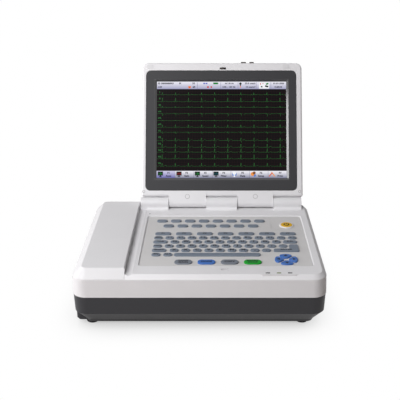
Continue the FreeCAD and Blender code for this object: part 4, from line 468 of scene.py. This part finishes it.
# %% Paint the frame
slot_of = {part["node"]: part["material_slot"] for part in frame["record"]["subparts"]}
body_of = {node: body for body, nodes in frame["record"]["behaviour"]["bodies"].items() for node in nodes}


def paint(piece, finish):
    piece.data.materials.clear()
    piece.data.materials.append(finish)


finish_of = dict(slot_of, lid_bumpers="cover_white", catch_plate="case_white")
for node, piece in frame["nodes"].items():
    paint(piece, finishes[finish_of[node]])
print("painted", len(slot_of), "nodes")

# %% [markdown]
# ## Modelling by hand, in code
# A new piece starts as a primitive and is shaped in edit mode. Operators act on whatever is selected,
# so these helpers deselect everything first, pick faces by the way they face, and leave the finished
# piece with its place in its mesh.

# %% Modelling helpers
FACING = 0.9


def alone(piece=None):
    if bpy.context.object and bpy.context.object.mode != "OBJECT":
        bpy.ops.object.mode_set(mode="OBJECT")
    bpy.ops.object.select_all(action="DESELECT")
    if piece:
        piece.select_set(True)
        bpy.context.view_layer.objects.active = piece


def edit(piece):
    alone(piece)
    bpy.ops.object.mode_set(mode="EDIT")
    bpy.ops.mesh.select_mode(type="FACE")
    bpy.ops.mesh.select_all(action="DESELECT")


def pick_faces(piece, test):
    """Selects, in edit mode, the faces whose normal passes the test."""
    mesh = bmesh.from_edit_mesh(piece.data)
    for face in mesh.faces:
        face.select_set(test(face.normal))
    mesh.select_flush_mode()
    bmesh.update_edit_mesh(piece.data)


def block(name, low, high):
    """A cube primitive between two corners, with its place in its mesh."""
    low, high = Vector(low), Vector(high)
    alone()
    bpy.ops.mesh.primitive_cube_add(size=1, location=(low + high) / 2, scale=high - low)
    piece = bpy.context.object
    piece.name = name
    bpy.ops.object.transform_apply(location=True, rotation=True, scale=True)
    return piece


def round_edges(piece, width, segments=2):
    alone(piece)
    bevel = piece.modifiers.new("round", "BEVEL")
    bevel.width = width
    bevel.segments = segments
    bevel.limit_method = "ANGLE"
    bpy.ops.object.modifier_apply(modifier=bevel.name)


def settle(piece, place):
    """Moves a piece to its place and bakes that place into its mesh."""
    alone(piece)
    piece.matrix_world = place @ piece.matrix_world
    bpy.ops.object.transform_apply(location=True, rotation=True, scale=True)
    return piece


def joined(pieces, name):
    alone(pieces[0])
    for piece in pieces:
        piece.select_set(True)
    if len(pieces) > 1:
        bpy.ops.object.join()
    pieces[0].name = name
    return pieces[0]


def copied(piece, shift):
    """A copy of a finished piece with its own mesh, moved by shift."""
    alone(piece)
    bpy.ops.object.duplicate(linked=False)
    twin = bpy.context.object
    return settle(twin, Matrix.Translation(shift))


def keep(piece, body, finish):
    """Paints a finished piece and lets it ride on its body."""
    paint(piece, finish)
    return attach(piece, body)


# %% [markdown]
# ## Lettering on the keys
# Most keys carry a printed legend. Where each key lies could be written down, but it is measured on the
# frame, so that the legends follow the keys: the keys of a row are separate islands of one mesh, and a
# walk along the edges finds them.

# %% Where the keys are
WELD = 1e-6


def islands(node, turn=Matrix()):
    """The lowest and highest corner of each separate solid of a node, from left to right."""
    mesh = bmesh.new()
    mesh.from_mesh(frame["nodes"][node].data)
    bmesh.ops.remove_doubles(mesh, verts=mesh.verts, dist=WELD)
    left = set(mesh.verts)
    found = []
    while left:
        reach = [left.pop()]
        corners = []
        while reach:
            vert = reach.pop()
            corners.append(turn @ vert.co)
            for edge in vert.link_edges:
                other = edge.other_vert(vert)
                if other in left:
                    left.remove(other)
                    reach.append(other)
        low = Vector([min(c[i] for c in corners) for i in range(3)])
        high = Vector([max(c[i] for c in corners) for i in range(3)])
        found.append((low, high))
    mesh.free()
    return sorted(found, key=lambda pair: pair[0].x)


LEGENDS = {
    "preset_keys": ["F%d" % i for i in range(1, 8)],
    "number_keys": ["ESC"] + ["%s %s" % pair for pair in zip("1234567890-=", "!?#$%/<>()_+")],
    "upper_letter_keys": ["TAB"] + list("QWERTYUIOP") + ["DEL"],
    "middle_letter_keys": ["CAPS"] + list("ASDFGHJKL;'"),
    "lower_letter_keys": ["SHIFT"] + list("ZXCVBNM,."),
    "modifier_keys": ["FN", "ALT"],
    "gain_key": ["LEAD\nGAIN"],
    "mode_key": ["MODE"],
    "copy_key": ["COPY"],
    "start_key": ["START\nSTOP"],
    "enter_key": ["ENTER"],
}
key_places = {node: islands(node) for node in LEGENDS}
print("keys with a legend:", sum(len(v) for v in key_places.values()))

# %% [markdown]
# A legend starts as a text object and becomes a mesh. A bevel makes the thin letters bold, since moving
# their outlines apart breaks some of them, and the mesh is then pressed flat and moved onto its key. The
# legends of one row join into one piece, because they press down with that row.

# %% Legends
INK_HEIGHT = 0.06 * MM
INK_SINK = 0.02 * MM
LETTER_SIZE = 8.6 * MM
WORD_SIZE = 5.8 * MM
WORD_ROOM = 0.78
LETTER_STEPS = 3
BOLD = 0.052
SPACING = 1.14


def lettering(words, size, room, place):
    """Words as a thin mesh, centred on a place and narrowed to the room they have."""
    alone()
    bpy.ops.object.text_add()
    text = bpy.context.object
    text.data.body = words
    text.data.size = size
    text.data.resolution_u = LETTER_STEPS
    text.data.align_x = "CENTER"
    text.data.align_y = "CENTER"
    text.data.space_line = 1.0
    text.data.space_character = SPACING
    text.data.extrude = BOLD * size
    text.data.bevel_depth = BOLD * size
    text.data.bevel_resolution = 0
    bpy.ops.object.convert(target="MESH")
    text = bpy.context.object
    narrow = min(1.0, room / text.dimensions.x)
    flat = INK_HEIGHT / text.dimensions.z
    return settle(text, place @ Matrix.Diagonal((narrow, narrow, flat, 1.0)))


ink = moulded("legend_ink", (0.010, 0.011, 0.014), 0.55, 0.15, mottle=0.15)
for node, words in LEGENDS.items():
    made = []
    for word, (low, high) in zip(words, key_places[node]):
        middle = Vector(((low.x + high.x) / 2, (low.y + high.y) / 2, high.z + INK_HEIGHT / 2 - INK_SINK))
        if node == "enter_key":
            middle.y = low.y + (high.y - low.y) / 4
        size = LETTER_SIZE if len(word) == 1 else WORD_SIZE
        made.append(lettering(word, size, WORD_ROOM * (high.x - low.x), Matrix.Translation(middle)))
    keep(joined(made, node + "_legends"), body_of[node], ink)
print("legends on", len(LEGENDS), "nodes")

# %% [markdown]
# ## Arrow marks
# The four arrow keys carry a small printed triangle each, which points away from the middle of the four.
# The triangle is a three-sided circle, filled and extruded, because a circle comes with even sides.

# %% Arrow marks
ARROWS = {"arrow_right_key": 0, "arrow_up_key": 90, "arrow_left_key": 180, "arrow_down_key": 270}
MARK_RADIUS = 4.0 * MM
MARK_OUT = 12.6 * MM
PAD_MIDDLE = sum((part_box(node)[0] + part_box(node)[1] for node in ARROWS), Vector()) / 8


def arrow_mark(name, turn, top):
    alone()
    bpy.ops.mesh.primitive_circle_add(vertices=3, radius=MARK_RADIUS, fill_type="NGON")
    mark = bpy.context.object
    mark.name = name
    edit(mark)
    bpy.ops.mesh.select_all(action="SELECT")
    bpy.ops.mesh.extrude_region_move(TRANSFORM_OT_translate={"value": (0, 0, INK_HEIGHT)})
    bpy.ops.mesh.select_all(action="SELECT")
    bpy.ops.mesh.normals_make_consistent(inside=False)
    alone(mark)
    settle(mark, Matrix.Rotation(math.radians(-90), 4, "Z"))
    out = Matrix.Rotation(math.radians(turn), 4, "Z") @ Matrix.Translation((MARK_OUT, 0, 0))
    return settle(mark, Matrix.Translation((PAD_MIDDLE.x, PAD_MIDDLE.y, top - INK_SINK)) @ out)


for node, turn in ARROWS.items():
    keep(arrow_mark(node + "_mark", turn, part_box(node)[1].z), body_of[node], ink)
print("arrow marks:", len(ARROWS))

# %% [markdown]
# ## Power symbol
# The power key carries the usual broken ring with a bar. The ring is a small profile spun round most of
# a turn, which leaves the gap that the bar stands in, and spares cutting that gap out of a whole ring.

# %% Power symbol
POWER_LOW, POWER_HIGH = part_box("power_key")
POWER_MIDDLE = (POWER_LOW + POWER_HIGH) / 2
SYMBOL_RADIUS = 4.2 * MM
SYMBOL_LINE = 2.2 * MM
SYMBOL_TURN = math.radians(290)
SYMBOL_STEPS = 28
PROFILE_DEPTH = 0.01 * MM
BAR_FROM = 0.2 * SYMBOL_RADIUS
BAR_TO = 1.3 * SYMBOL_RADIUS


def power_symbol():
    half = SYMBOL_LINE / 2
    inner, outer = SYMBOL_RADIUS - half, SYMBOL_RADIUS + half
    ring = block("power_symbol", (inner, -PROFILE_DEPTH, 0), (outer, 0, INK_HEIGHT))
    edit(ring)
    pick_faces(ring, lambda normal: normal.y < FACING)
    bpy.ops.mesh.delete(type="FACE")
    bpy.ops.mesh.select_all(action="SELECT")
    bpy.ops.mesh.spin(steps=SYMBOL_STEPS, angle=SYMBOL_TURN, center=(0, 0, 0), axis=(0, 0, 1))
    bpy.ops.mesh.select_all(action="SELECT")
    bpy.ops.mesh.remove_doubles(threshold=WELD)
    bpy.ops.mesh.fill_holes(sides=4)
    bpy.ops.mesh.select_all(action="SELECT")
    bpy.ops.mesh.normals_make_consistent(inside=False)
    alone(ring)
    gap_middle = -(SYMBOL_TURN + math.tau) / 2
    settle(ring, Matrix.Rotation(math.radians(90) - gap_middle, 4, "Z"))
    bar = block("power_bar", (-half, BAR_FROM, 0), (half, BAR_TO, INK_HEIGHT))
    round_edges(bar, INK_HEIGHT / 3, 1)
    symbol = joined([ring, bar], "power_symbol")
    return settle(symbol, Matrix.Translation((POWER_MIDDLE.x, POWER_MIDDLE.y, POWER_HIGH.z - INK_SINK)))


keep(power_symbol(), body_of["power_key"], ink)
print("power symbol on", body_of["power_key"])

# %% [markdown]
# ## Painted shade in the microphone hole
# A small hole in the deck behind the keyboard lets sound in to the microphone. The shade inside it is
# painted: a black cylinder sits in the hole as a plug, its upper edge bevelled soft. Its place is
# measured from the back left corner of the keyboard panel.

# %% Painted shade in the microphone hole
PLUG_RADIUS = 1.25 * MM
PLUG_HEIGHT = 1.6 * MM
PLUG_EDGE = 0.2 * MM
PLUG_SIDES = 24
PLUG_FROM_CORNER = Vector((6.5, 5.4, 1.05)) * MM


# A black plug in the hole: its black is painted shade for the inside of the hole.
def hole_shade_plug():
    low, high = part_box("keyboard_panel")
    top = Vector((low.x, high.y, high.z)) + PLUG_FROM_CORNER
    alone()
    bpy.ops.mesh.primitive_cylinder_add(vertices=PLUG_SIDES, radius=PLUG_RADIUS, depth=PLUG_HEIGHT)
    plug = bpy.context.object
    plug.name = "hole_shade_plug"
    round_edges(plug, PLUG_EDGE)
    return settle(plug, Matrix.Translation(top - Vector((0, 0, PLUG_HEIGHT / 2))))


# The plug's black is painted shade for the inside of the hole.
keep(hole_shade_plug(), body_of["top_case"], moulded("hole_shade_black", (0.006, 0.006, 0.007), 0.9, 0.05))
print("plug", 2 * PLUG_RADIUS, "across")

# %% [markdown]
# ## The picture on the screen
# The display shows twelve traces on a black ground with a faint grid, a status bar above and a row of
# soft buttons below. Everything is laid flat in the lid's own axes and then turned onto the lid. The
# ground is a thin plate whose grid is drawn by the shader, because hundreds of hairlines would be
# wasted as geometry.

# %% Ground and grid
LAYER = 0.05 * MM
GROUND_LEVEL = 0
PLATE_BEVEL = 0.4 * LAYER
GRID_STEP = 5.0 * MM
GRID_LINE = 0.30 * MM
SCREEN_GLOSS = 0.035


def screen_plate(name, left, right, bottom, top, level):
    """A thin plate on the glass, centred on its level, with a hair of a bevel round its face."""
    middle = GLASS_FACE + level * LAYER
    plate = block(name, (left, bottom, middle - LAYER), (right, top, middle + LAYER))
    edit(plate)
    pick_faces(plate, lambda normal: normal.z > FACING)
    bpy.ops.mesh.bevel(offset=PLATE_BEVEL, segments=1, affect="EDGES")
    alone(plate)
    return plate


def screen_material(name):
    """A nearly black base for a part of the picture that glows, with its place in the lid's axes."""
    material, shader, place = empty_material(name)
    shader.inputs["Base Color"].default_value = (0.002, 0.002, 0.002, 1)
    shader.inputs["Specular IOR Level"].default_value = SCREEN_GLOSS
    shader.inputs["Emission Strength"].default_value = 1.0
    (0.16 + 0.08 * place.noise(60.0)).into(shader, "Roughness")
    return material, shader, on_lid(place)


def screen_ground():
    material, shader, lid = screen_material("screen_ground")
    across = lid.axis("X").wrap(GRID_STEP) < GRID_LINE / 2
    up = (lid.axis("Y") - SCREEN_BOTTOM).wrap(GRID_STEP) < GRID_LINE / 2
    grid = across.maths("MAXIMUM", across, up)
    black = lid.noise(14.0, 3.0).mix((0.0036, 0.0030, 0.0036, 1), (0.0056, 0.0046, 0.0054, 1))
    grid.mix(black, (0.026, 0.009, 0.010, 1)).into(shader, "Emission Color")
    return material


ground = screen_plate("screen_ground", -SCREEN_RIGHT, SCREEN_RIGHT, SCREEN_BOTTOM, SCREEN_TOP,
                      GROUND_LEVEL)
keep(settle(ground, LID), "lid", screen_ground())
print("grid step", GRID_STEP)

# %% [markdown]
# ### Traces
# One heartbeat is a short list of points: a small hump, a sharp spike, a dip and a broad hump. A poly
# curve with a round section follows ten beats and becomes a mesh. The line is thin, and swells at each
# spike, which a display draws over and over in the same columns. The twelve leads differ in how high
# each spike, dip and hump is, and in how far the line lies below its name.

# %% Traces
BEAT_COUNT = 10
BEAT_PITCH = 24.86 * MM
FIRST_BEAT = -112.5 * MM
FIRST_NAME = 210.9 * MM
LEAD_STEP = 12.38 * MM
TRACE_RADIUS = 0.12 * MM
TRACE_LEVEL = 2
SPIKE_SWELL = 1.9
SPIKE_REACH = 0.035
FIRST_HUMP = 0.7
LEADS = [
    ("I", 4.9, 4.0, 0.6, 1.2),
    ("II", 5.7, 7.0, 0.6, 1.6),
    ("III", 4.4, 2.4, 0.4, 0.8),
    ("aVR", 4.1, 0.4, 5.4, -1.0),
    ("aVL", 5.2, 1.0, 0.3, 0.3),
    ("aVF", 5.5, 4.6, 0.5, 1.2),
    ("V1", 2.7, 1.0, 3.2, 0.6),
    ("V2", 6.0, 4.6, 4.6, 2.4),
    ("V3", 6.8, 6.2, 1.4, 2.8),
    ("V4", 3.6, 6.2, 1.0, 1.6),
    ("V5", 3.8, 7.6, 0.8, 1.5),
    ("V6", 5.5, 5.6, 0.6, 1.4),
]


def beat(spike, dip, hump):
    """One beat: where each point lies, in shares of a beat, and its height in millimetres."""
    return [(-0.24, 0.0), (-0.18, FIRST_HUMP), (-0.12, 0.0), (-0.03, 0.0), (-0.008, spike), (0.008, spike),
            (0.03, -dip), (0.06, 0.0), (0.16, 0.1 * hump), (0.25, hump), (0.34, 0.0)]


def trace(level, spike, dip, hump):
    alone()
    bpy.ops.curve.primitive_nurbs_path_add(enter_editmode=False)
    line = bpy.context.object
    line.data.splines.clear()
    points = [(-SCREEN_RIGHT + 2 * TRACE_RADIUS, 0.0, 1.0)]
    for count in range(BEAT_COUNT):
        start = FIRST_BEAT + count * BEAT_PITCH
        for share, height in beat(spike, dip, hump):
            swell = SPIKE_SWELL if abs(share) < SPIKE_REACH else 1.0
            points.append((start + share * BEAT_PITCH, height * MM, swell))
    points = [p for p in points if abs(p[0]) < SCREEN_RIGHT - TRACE_RADIUS]
    points.append((SCREEN_RIGHT - 2 * TRACE_RADIUS, 0.0, 1.0))
    spline = line.data.splines.new("POLY")
    spline.points.add(len(points) - 1)
    for point, (x, y, swell) in zip(spline.points, points):
        point.co = (x, level + y, 0.0, 1.0)
        point.radius = swell
    line.data.bevel_depth = TRACE_RADIUS
    line.data.bevel_resolution = 0
    line.data.use_fill_caps = True
    bpy.ops.object.convert(target="MESH")
    flat = Matrix.Diagonal((1, 1, LAYER / TRACE_RADIUS, 1))
    return settle(bpy.context.object, Matrix.Translation((0, 0, GLASS_FACE + TRACE_LEVEL * LAYER)) @ flat)


def glowing(name, colour):
    """A lit part of the picture: its colour drifts a little, as pixels seen at a slant do."""
    material, shader, lid = screen_material(name)
    lid.noise(70.0).mix(scaled(colour, 0.88), scaled(colour, 1.10)).into(shader, "Emission Color")
    return material


made = []
for i, (_, drop, spike, dip, hump) in enumerate(LEADS):
    made.append(trace(FIRST_NAME - i * LEAD_STEP - drop * MM, spike, dip, hump))
keep(settle(joined(made, "screen_traces"), LID), "lid", glowing("trace_green", (0.042, 0.235, 0.055)))
print("traces:", len(LEADS), "with", BEAT_COUNT, "beats")

# %% [markdown]
# ### Lead names
# Each trace has the name of its lead above it, at the left end. The lettering of the keys serves here as
# well, laid on the screen and lit, since a name in the shader would need a picture.

# %% Lead names
WORD_LEVEL = 7
NAME_SIZE = 4.2 * MM
NAME_X = -SCREEN_RIGHT + 5.4 * MM
NAME_ROOM = 6.4


def screen_words(name, rows, size, bottom, colour):
    """Words on the screen, from rows of words, middle, room and height above bottom, in millimetres."""
    made = []
    for words, x, room, up in rows:
        spot = Matrix.Translation((x * MM, bottom + up * MM, GLASS_FACE + WORD_LEVEL * LAYER))
        made.append(lettering(words, size, room * MM, spot))
    keep(settle(joined(made, name), LID), "lid", glowing(name, colour))


rows = [(lead[0], NAME_X / MM, NAME_ROOM, -i * LEAD_STEP / MM) for i, lead in enumerate(LEADS)]
screen_words("screen_lead_names", rows, NAME_SIZE, FIRST_NAME, (0.030, 0.165, 0.045))
print("lead names:", len(rows))

# %% [markdown]
# ### Status bar
# The bar above the traces is a thin plate that shades from a cool grey at the foot to nearly white at
# the top, with words and small signs laid on it. The shade follows the height on the lid, so it comes
# from the shader.

# %% Status bar
STATUS_HEIGHT = 14.2 * MM
STATUS_BOTTOM = SCREEN_TOP - STATUS_HEIGHT
STATUS_TEXT = 4.4 * MM
SCREEN_INK = (0.016, 0.016, 0.030)
UPPER, LOWER = 10.7, 3.8
BAR_LEVEL = 2


def shaded_bar(name, low, high, bottom, top):
    """A lit bar that goes from one colour at its foot to another at its top."""
    material, shader, lid = screen_material(name)
    height = lid.node("MapRange", {}, {0: lid.axis("Y"), "From Min": bottom, "From Max": top})
    height.mix(rgba(low), rgba(high)).into(shader, "Emission Color")
    return material


bar = screen_plate("status_bar", -SCREEN_RIGHT, SCREEN_RIGHT, STATUS_BOTTOM, SCREEN_TOP, BAR_LEVEL)
status_shade = shaded_bar("status_shade", (0.36, 0.36, 0.54), (0.86, 0.85, 0.92), STATUS_BOTTOM, SCREEN_TOP)
keep(settle(bar, LID), "lid", status_shade)
screen_words("status_words", [
    ("ID 0000000001", -105.9, 29.7, UPPER), ("M", -78.9, 4.0, UPPER), ("35", -53.3, 5.0, UPPER),
    ("AC 50 Hz", 14.8, 17.0, UPPER), ("25.0 mm/s", 54.5, 19.7, UPPER), ("01-01-2020", 108.9, 20.6, UPPER),
    ("AGE", -117.3, 7.5, LOWER), ("60", -52.6, 5.5, LOWER), ("0.05 - 150 Hz", 14.1, 24.7, LOWER),
    ("10 mm/mV", 55.2, 18.3, LOWER), ("12:00:00", 107.8, 14.5, LOWER),
], STATUS_TEXT, STATUS_BOTTOM, SCREEN_INK)
print("status bar", STATUS_HEIGHT, "m high")

# %% [markdown]
# The signs are small plates and discs. A disc starts as a circle and is drawn up and drawn in, so
# that it has a rim like the plates'.

# %% Status signs
DISC_SIDES = 20
DISC_WALL = 1.6 * LAYER
DISC_RISE = 0.4 * LAYER
DISC_RIM = 0.06
STATUS_UNDER, STATUS_OVER = 4, 6


def screen_disc(name, x, y, radius, level):
    alone()
    bpy.ops.mesh.primitive_circle_add(vertices=DISC_SIDES, radius=radius, fill_type="NGON",
                                      location=(x, y, GLASS_FACE + (level - 1) * LAYER))
    disc = bpy.context.object
    disc.name = name
    edit(disc)
    bpy.ops.mesh.select_all(action="SELECT")
    bpy.ops.mesh.extrude_region_move(TRANSFORM_OT_translate={"value": (0, 0, DISC_WALL)})
    bpy.ops.mesh.inset(thickness=DISC_RIM * radius)
    bpy.ops.transform.translate(value=(0, 0, DISC_RISE))
    bpy.ops.mesh.select_all(action="SELECT")
    bpy.ops.mesh.normals_make_consistent(inside=False)
    alone(disc)
    bpy.ops.object.transform_apply(location=True, rotation=True, scale=True)
    return disc


def signs(name, colour, bottom, level, plates=(), discs=()):
    """Plates of middle, height above bottom, width, height, turn, and discs of middle, height, radius."""
    made = []
    for x, up, width, height, turn in plates:
        spot = Vector((x * MM, bottom + up * MM, 0))
        half = Vector((width, height, 0)) * MM / 2
        plate = screen_plate(name, -half.x, half.x, -half.y, half.y, level)
        made.append(settle(plate, Matrix.Translation(spot) @ Matrix.Rotation(math.radians(turn), 4, "Z")))
    for x, up, radius in discs:
        made.append(screen_disc(name, x * MM, bottom + up * MM, radius * MM, level))
    keep(settle(joined(made, name), LID), "lid", glowing(name, colour))


signs("status_lines", (0.24, 0.24, 0.36), STATUS_BOTTOM, STATUS_UNDER,
      [(x, 7.1, 0.7, 12.2, 0) for x in (-46.2, -1.5, 31.4, 66.2, 94.0)])
signs("status_box", (0.86, 0.86, 0.90), STATUS_BOTTOM, STATUS_UNDER, [(80.8, 7.1, 19.0, 12.6, 0)])
signs("status_blue", (0.13, 0.16, 0.55), STATUS_BOTTOM, STATUS_UNDER,
      [(-33.0, 10.8, 3.4, 2.6, 0), (-28.6, 10.8, 3.4, 2.6, 0)])
signs("status_green", (0.015, 0.22, 0.04), STATUS_BOTTOM, STATUS_OVER,
      [(-11.4, 10.9, 8.6, 3.4, 0), (-6.5, 10.9, 0.9, 1.8, 0), (87.0, 10.0, 4.6, 2.8, 20)])
signs("status_orange", (0.86, 0.17, 0.02), STATUS_BOTTOM, STATUS_UNDER,
      [(-60.9, 2.6, 2.6, 2.6, 45), (36.0, 4.6, 1.4, 3.2, 0)], [(-62.0, 4.0, 1.7), (-59.8, 4.0, 1.7)])
signs("status_red", (0.62, 0.05, 0.05), STATUS_BOTTOM, STATUS_OVER,
      [(-25.9, 3.8, 3.6, 3.0, 0), (-19.5, 3.8, 2.8, 3.0, 0), (74.4, 9.8, 1.4, 3.4, 0),
       (79.0, 10.6, 1.6, 1.6, 0)])
signs("status_dark", (0.012, 0.020, 0.016), STATUS_BOTTOM, STATUS_OVER,
      [(36.0, 7.6, 1.6, 3.0, 0), (76.5, 4.4, 3.0, 2.6, 0), (86.0, 5.2, 6.0, 3.0, -15)], [(36.0, 10.4, 2.3)])

# %% [markdown]
# ### Soft buttons
# A darker bar below the traces carries seven soft buttons, shaded as the status bar is. A button is
# modelled once, with an inset face that sinks a little as screen buttons seem to, and copied along the
# bar. The first one is chosen, so its shade is bluer.

# %% Soft buttons
BUTTON_HEIGHT = 13.6 * MM
BUTTON_COUNT = 7
BUTTON_PITCH = 2 * SCREEN_RIGHT / BUTTON_COUNT
BUTTON_GAP = 0.8 * MM
BUTTON_INSET = 1.0 * MM
BUTTON_SINK = 0.5 * LAYER
BUTTON_LEVEL = 3
BUTTON_TOP = SCREEN_BOTTOM + BUTTON_HEIGHT
BUTTON_LOW = (0.22, 0.23, 0.34)
BUTTON_HIGH = (0.92, 0.91, 0.95)


def soft_button():
    left = -SCREEN_RIGHT + BUTTON_GAP / 2
    button = screen_plate("soft_button", left, left + BUTTON_PITCH - BUTTON_GAP,
                          SCREEN_BOTTOM + BUTTON_GAP / 2, BUTTON_TOP - BUTTON_GAP / 2, BUTTON_LEVEL)
    edit(button)
    pick_faces(button, lambda normal: normal.z > FACING)
    bpy.ops.mesh.inset(thickness=BUTTON_INSET)
    bpy.ops.transform.translate(value=(0, 0, -BUTTON_SINK))
    alone(button)
    return button


bar = screen_plate("button_bar", -SCREEN_RIGHT, SCREEN_RIGHT, SCREEN_BOTTOM, BUTTON_TOP, BAR_LEVEL)
bar_shade = shaded_bar("bar_shade", (0.13, 0.13, 0.22), (0.5, 0.5, 0.6), SCREEN_BOTTOM, BUTTON_TOP)
keep(settle(bar, LID), "lid", bar_shade)
first = soft_button()
others = [copied(first, (i * BUTTON_PITCH, 0, 0)) for i in range(1, BUTTON_COUNT)]
chosen = shaded_bar("chosen_shade", (0.13, 0.13, 0.42), (0.66, 0.64, 0.82), SCREEN_BOTTOM, BUTTON_TOP)
keep(settle(first, LID), "lid", chosen)
plain_shade = shaded_bar("button_shade", BUTTON_LOW, BUTTON_HIGH, SCREEN_BOTTOM, BUTTON_TOP)
keep(settle(joined(others, "soft_buttons"), LID), "lid", plain_shade)
print("soft buttons:", BUTTON_COUNT)

# %% [markdown]
# Four buttons carry a little monitor with bars of its own colour, and the last three a lamp, a patient
# record and a pair of pens, each built from the same plates and discs.

# %% Button signs
BUTTON_UNDER, BUTTON_OVER = 5, 7
MONITORS = [(-115.7, "green"), (-80.5, "red"), (-45.8, "green"), (-10.6, "teal")]
MONITOR_COLOURS = {"green": (0.020, 0.26, 0.045), "red": (0.36, 0.020, 0.020), "teal": (0.016, 0.12, 0.15)}
plates = []
for x, _ in MONITORS:
    plates += [(x, 8.4, 9.8, 7.6, 0), (x, 3.6, 2.0, 2.2, 0), (x, 2.4, 5.6, 1.2, 0)]
signs("button_monitors", (0.010, 0.014, 0.014), SCREEN_BOTTOM, BUTTON_UNDER, plates)
for name, colour in MONITOR_COLOURS.items():
    bars = []
    for x, used in MONITORS:
        if used == name:
            bars += [(x - 2.6, 7.6, 1.1, 2.4, 0), (x, 8.4, 1.1, 4.0, 0), (x + 2.6, 7.9, 1.1, 3.0, 0)]
    signs("button_bars_" + name, colour, SCREEN_BOTTOM, BUTTON_OVER, bars)
signs("button_blue", (0.10, 0.22, 0.60), SCREEN_BOTTOM, BUTTON_UNDER,
      [(62.6, 4.6, 4.4, 4.0, 20)], [(24.1, 7.4, 4.4)])
signs("button_pale", (0.88, 0.90, 0.94), SCREEN_BOTTOM, BUTTON_OVER,
      [(24.1, 3.6, 3.0, 3.0, 0)], [(24.1, 9.2, 3.4)])
signs("button_brown", (0.22, 0.070, 0.020), SCREEN_BOTTOM, BUTTON_OVER, [], [(61.6, 9.6, 2.7)])
signs("button_amber", (0.86, 0.30, 0.06), SCREEN_BOTTOM, BUTTON_UNDER,
      [(97.4, 7.0, 1.9, 10.4, 38)], [(58.6, 7.4, 3.6)])
signs("button_scarlet", (0.72, 0.10, 0.03), SCREEN_BOTTOM, BUTTON_OVER, [(92.6, 6.4, 1.9, 9.6, -42)])
BUTTON_WORDS = ["Auto", "Gain", "Speed", "Filter", "Data", "Setup", "Print"]
BUTTON_MIDDLES = [-100.2, -65.9, -30.7, 4.0, 39.7, 74.4, 110.5]
BUTTON_ROOM = 11.5
BUTTON_UPPER = 9.4
rows = [(word, x, BUTTON_ROOM, LOWER) for word, x in zip(BUTTON_WORDS, BUTTON_MIDDLES)]
rows += [("F%d" % (i + 1), x, BUTTON_ROOM, BUTTON_UPPER) for i, x in enumerate(BUTTON_MIDDLES)]
screen_words("button_words", rows, STATUS_TEXT, SCREEN_BOTTOM, SCREEN_INK)

# %% [markdown]
# ## Painted shade round the caps
# Round the caps over the hinge screws and the two smaller ones beside the bezel lies a thin grey ring,
# painted shade for the shadowed gap round each cap. The ring is a disc, inset, opened in the middle and
# drawn up a hair.

# %% Rings round the caps
RING_LINE = 0.7 * MM
RING_HEIGHT = 0.06 * MM
RING_SIDES = 32


def cap_ring(name, middle, radius, face):
    """A thin ring of one radius on a face of the lid, in the lid's axes."""
    alone()
    bpy.ops.mesh.primitive_circle_add(vertices=RING_SIDES, radius=radius + RING_LINE, fill_type="NGON",
                                      location=(middle.x, middle.y, face - RING_HEIGHT / 2))
    ring = bpy.context.object
    ring.name = name
    edit(ring)
    bpy.ops.mesh.select_all(action="SELECT")
    bpy.ops.mesh.inset(thickness=RING_LINE)
    bpy.ops.mesh.delete(type="FACE")
    bpy.ops.mesh.select_all(action="SELECT")
    bpy.ops.mesh.extrude_region_move(TRANSFORM_OT_translate={"value": (0, 0, RING_HEIGHT)})
    bpy.ops.mesh.select_all(action="SELECT")
    bpy.ops.mesh.normals_make_consistent(inside=False)
    alone(ring)
    bpy.ops.object.transform_apply(location=True, rotation=True, scale=True)
    return ring


def ring_pair(caps):
    """A ring round one cap, and a copy of it round another of the same size."""
    middles = [(low + high) / 2 for low, high in caps]
    low, high = caps[0]
    first = cap_ring("painted_gap_rings", middles[0], (high.x - low.x) / 2, low.z)
    return [first, copied(first, (middles[1].x - middles[0].x, middles[1].y - middles[0].y, 0))]


caps = islands("lid_screw_caps", LID.inverted())
rings = ring_pair([caps[0], caps[3]]) + ring_pair([caps[1], caps[2]])
# The rings' grey is painted shade for the gap round each cap.
keep(settle(joined(rings, "painted_gap_rings"), LID), "lid", moulded("painted_gap_shade", (0.36, 0.35, 0.345), 0.6, 0.2))
print("rings:", len(rings))
